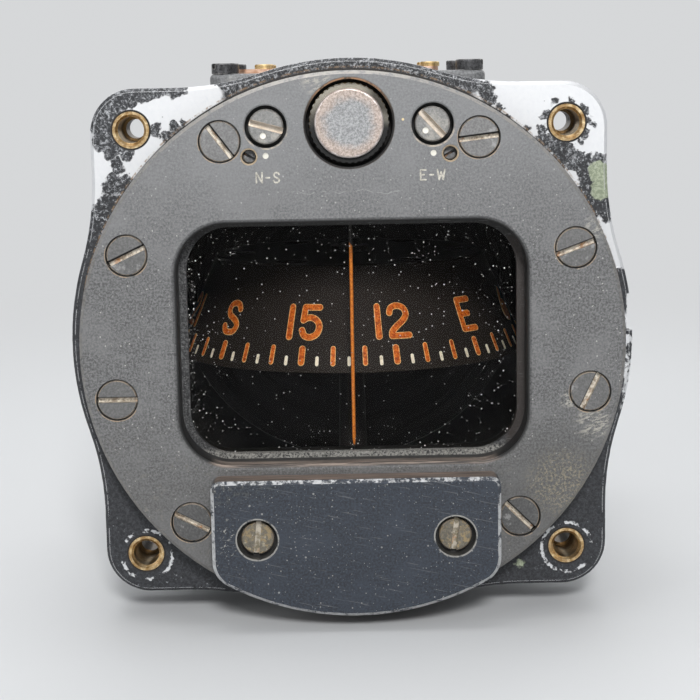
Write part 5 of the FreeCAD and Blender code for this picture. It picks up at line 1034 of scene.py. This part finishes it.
def lights():
    """The lamps, and a world that is paler above and shows the backdrop's tone where it is seen."""
    for lamp in LAMPS:
        area_light(*lamp)
    s = Shader("studio", world=True)
    bpy.context.scene.world = s.owner
    height = s.split(s.node("TexCoord").outputs["Generated"])[2]
    sky = s.glow("Background", SKY, s.step(height, *SKY_RISE, "LINEAR"))
    paper = s.glow("Background", PAPER, BACKDROP_LEVEL)
    s.done(s.join(s.seen(), sky, paper), "OutputWorld")


FOCAL_PIXELS = 1730.44
PICTURE = 700
SENSOR = 36
CAMERA_ANGLES = (8.970, -0.3136, -1.0851)
CAMERA_SHIFT = (0.397, -1.208, 254.216)


def camera():
    """Camera at the photograph's place, as fitted to the holes, screws and cover."""
    rx, ry, rz = (math.radians(a) for a in CAMERA_ANGLES)
    turn = Matrix.Rotation(rz, 3, "Z") @ Matrix.Rotation(ry, 3, "Y") @ Matrix.Rotation(rx, 3, "X")
    turn = turn @ Matrix(((1, 0, 0), (0, 0, -1), (0, 1, 0)))
    back = turn.transposed()
    data = bpy.data.cameras.new("camera")
    data.sensor_width = SENSOR
    data.lens = FOCAL_PIXELS * SENSOR / PICTURE
    data.clip_start = 0.01
    eye = add_object("camera", data)
    look = back @ Matrix(((1, 0, 0), (0, -1, 0), (0, 0, -1)))
    eye.matrix_world = Matrix.Translation(-(back @ Vector(CAMERA_SHIFT)) * MM) @ look.to_4x4()
    bpy.context.scene.camera = eye


def dress_all():
    dress(case_material(), "case_body")
    dress(cover_material(), "front_cover")
    dress(lower_cover_material(), "lower_cover")
    dress(gasket_material(), "cover_gasket", "rear_gasket", "filler_seal")
    dress(rubber_material(), "window_frame", "rear_glass_seal", "diaphragm_seal")
    dress(glass_material(), "window_glass")
    dress(insert_material(), "mounting_inserts")
    dress(screw_material("cover_screw_paint", (0.118, 0.117, 0.116), COVER_FACE_Y + 0.1,
                         (0.34, 0.27, 0.2), (0.8, 0.74, 0.64), 0, COVER_SCREWS), "cover_screws")
    dress(screw_material("lower_screw_paint", (0.2, 0.18, 0.14), LOWER_FACE_Y + 1,
                         (0.22, 0.19, 0.13), (0.55, 0.5, 0.42), 0.8), "lower_cover_screws")
    dress(screw_material("lock_screw_paint", (0.12, 0.12, 0.12), COVER_FACE_Y + 1.6,
                         (0.02, 0.02, 0.02), (0.1, 0.1, 0.1)), "adjuster_lock_screws")
    dress(adjuster_material(), "ns_adjuster", "ew_adjuster")
    dress(lamp_cap_material(), "lamp_cap")
    dress(housing_material(), "corrector_housing")
    dress(plate_material(), "housing_plate")
    dress(dark_screw_material(), "housing_screws", "rear_cover_screws", "filler_plug")
    brass = brass_material("brass", (0.74, 0.58, 0.32), (0.5, 0.36, 0.16), (0.25, 0.15, 0.07))
    dress(brass, "housing_plate_screws", "terminal_screws", "lamp_socket", "lamp_contact",
          "lamp_bulb_base", "corrector_frame", "ns_drive_gear", "ns_idler_gear", "ew_pinion",
          "ew_left_wheel", "ew_right_wheel", "pivot_stem")
    dress(moulded_material("inner_black", (0.012, 0.01, 0.009), (0.006, 0.005, 0.005), 0.6),
          "card_hub", "card_float", "card_float_base", "jewel_post", "diaphragm")
    dress(plain_metal("hard_steel", (0.62, 0.62, 0.64), (0.4, 0.4, 0.42)), "ns_idler_arbor",
          "ew_cross_pin", "pivot_point")
    dress(plain_metal("magnet_steel", (0.34, 0.34, 0.36), (0.2, 0.2, 0.22), 0.4), "ns_drive_magnet",
          "ns_idler_magnet", "ew_left_magnet", "ew_right_magnet", "card_magnets")
    dress(moulded_material("insulation", (0.06, 0.045, 0.038), (0.03, 0.022, 0.018)),
          "lamp_insulator", "terminal_block")
    dress(moulded_material("rear_enamel", (0.035, 0.036, 0.038), (0.015, 0.015, 0.017), 0.4),
          "rear_cover")
    dress(card_material(), "compass_card")
    dress(lubber_material(), "lubber_line")
    dress(clear_material("clear_rod", (0.9, 0.93, 0.94)), "light_guides")
    dress(clear_material("bulb_glass", (0.95, 0.94, 0.9)), "lamp_bulb_glass")
    dress(clear_material("jewel_stone", (0.7, 0.1, 0.16)), "jewel")


camera()
lights()
stage()
dress_all()
orange = paint_material("mark_orange", (0.74, 0.195, 0.018), (0.46, 0.08, 0.004),
                        (0.2, 0.024, 0.002))
cream = paint_material("mark_cream", (0.96, 0.93, 0.78), (0.86, 0.82, 0.66), (0.6, 0.54, 0.4))
pale = paint_material("mark_pale", (0.95, 0.66, 0.3), (0.75, 0.44, 0.14), (0.5, 0.22, 0.05))
card_marks(orange, cream, pale)
cover_labels(paint_material("label_cream", (0.62, 0.59, 0.52), (0.4, 0.38, 0.33),
                            (0.24, 0.23, 0.21)))
bpy.context.scene.view_settings.view_transform = "Standard"
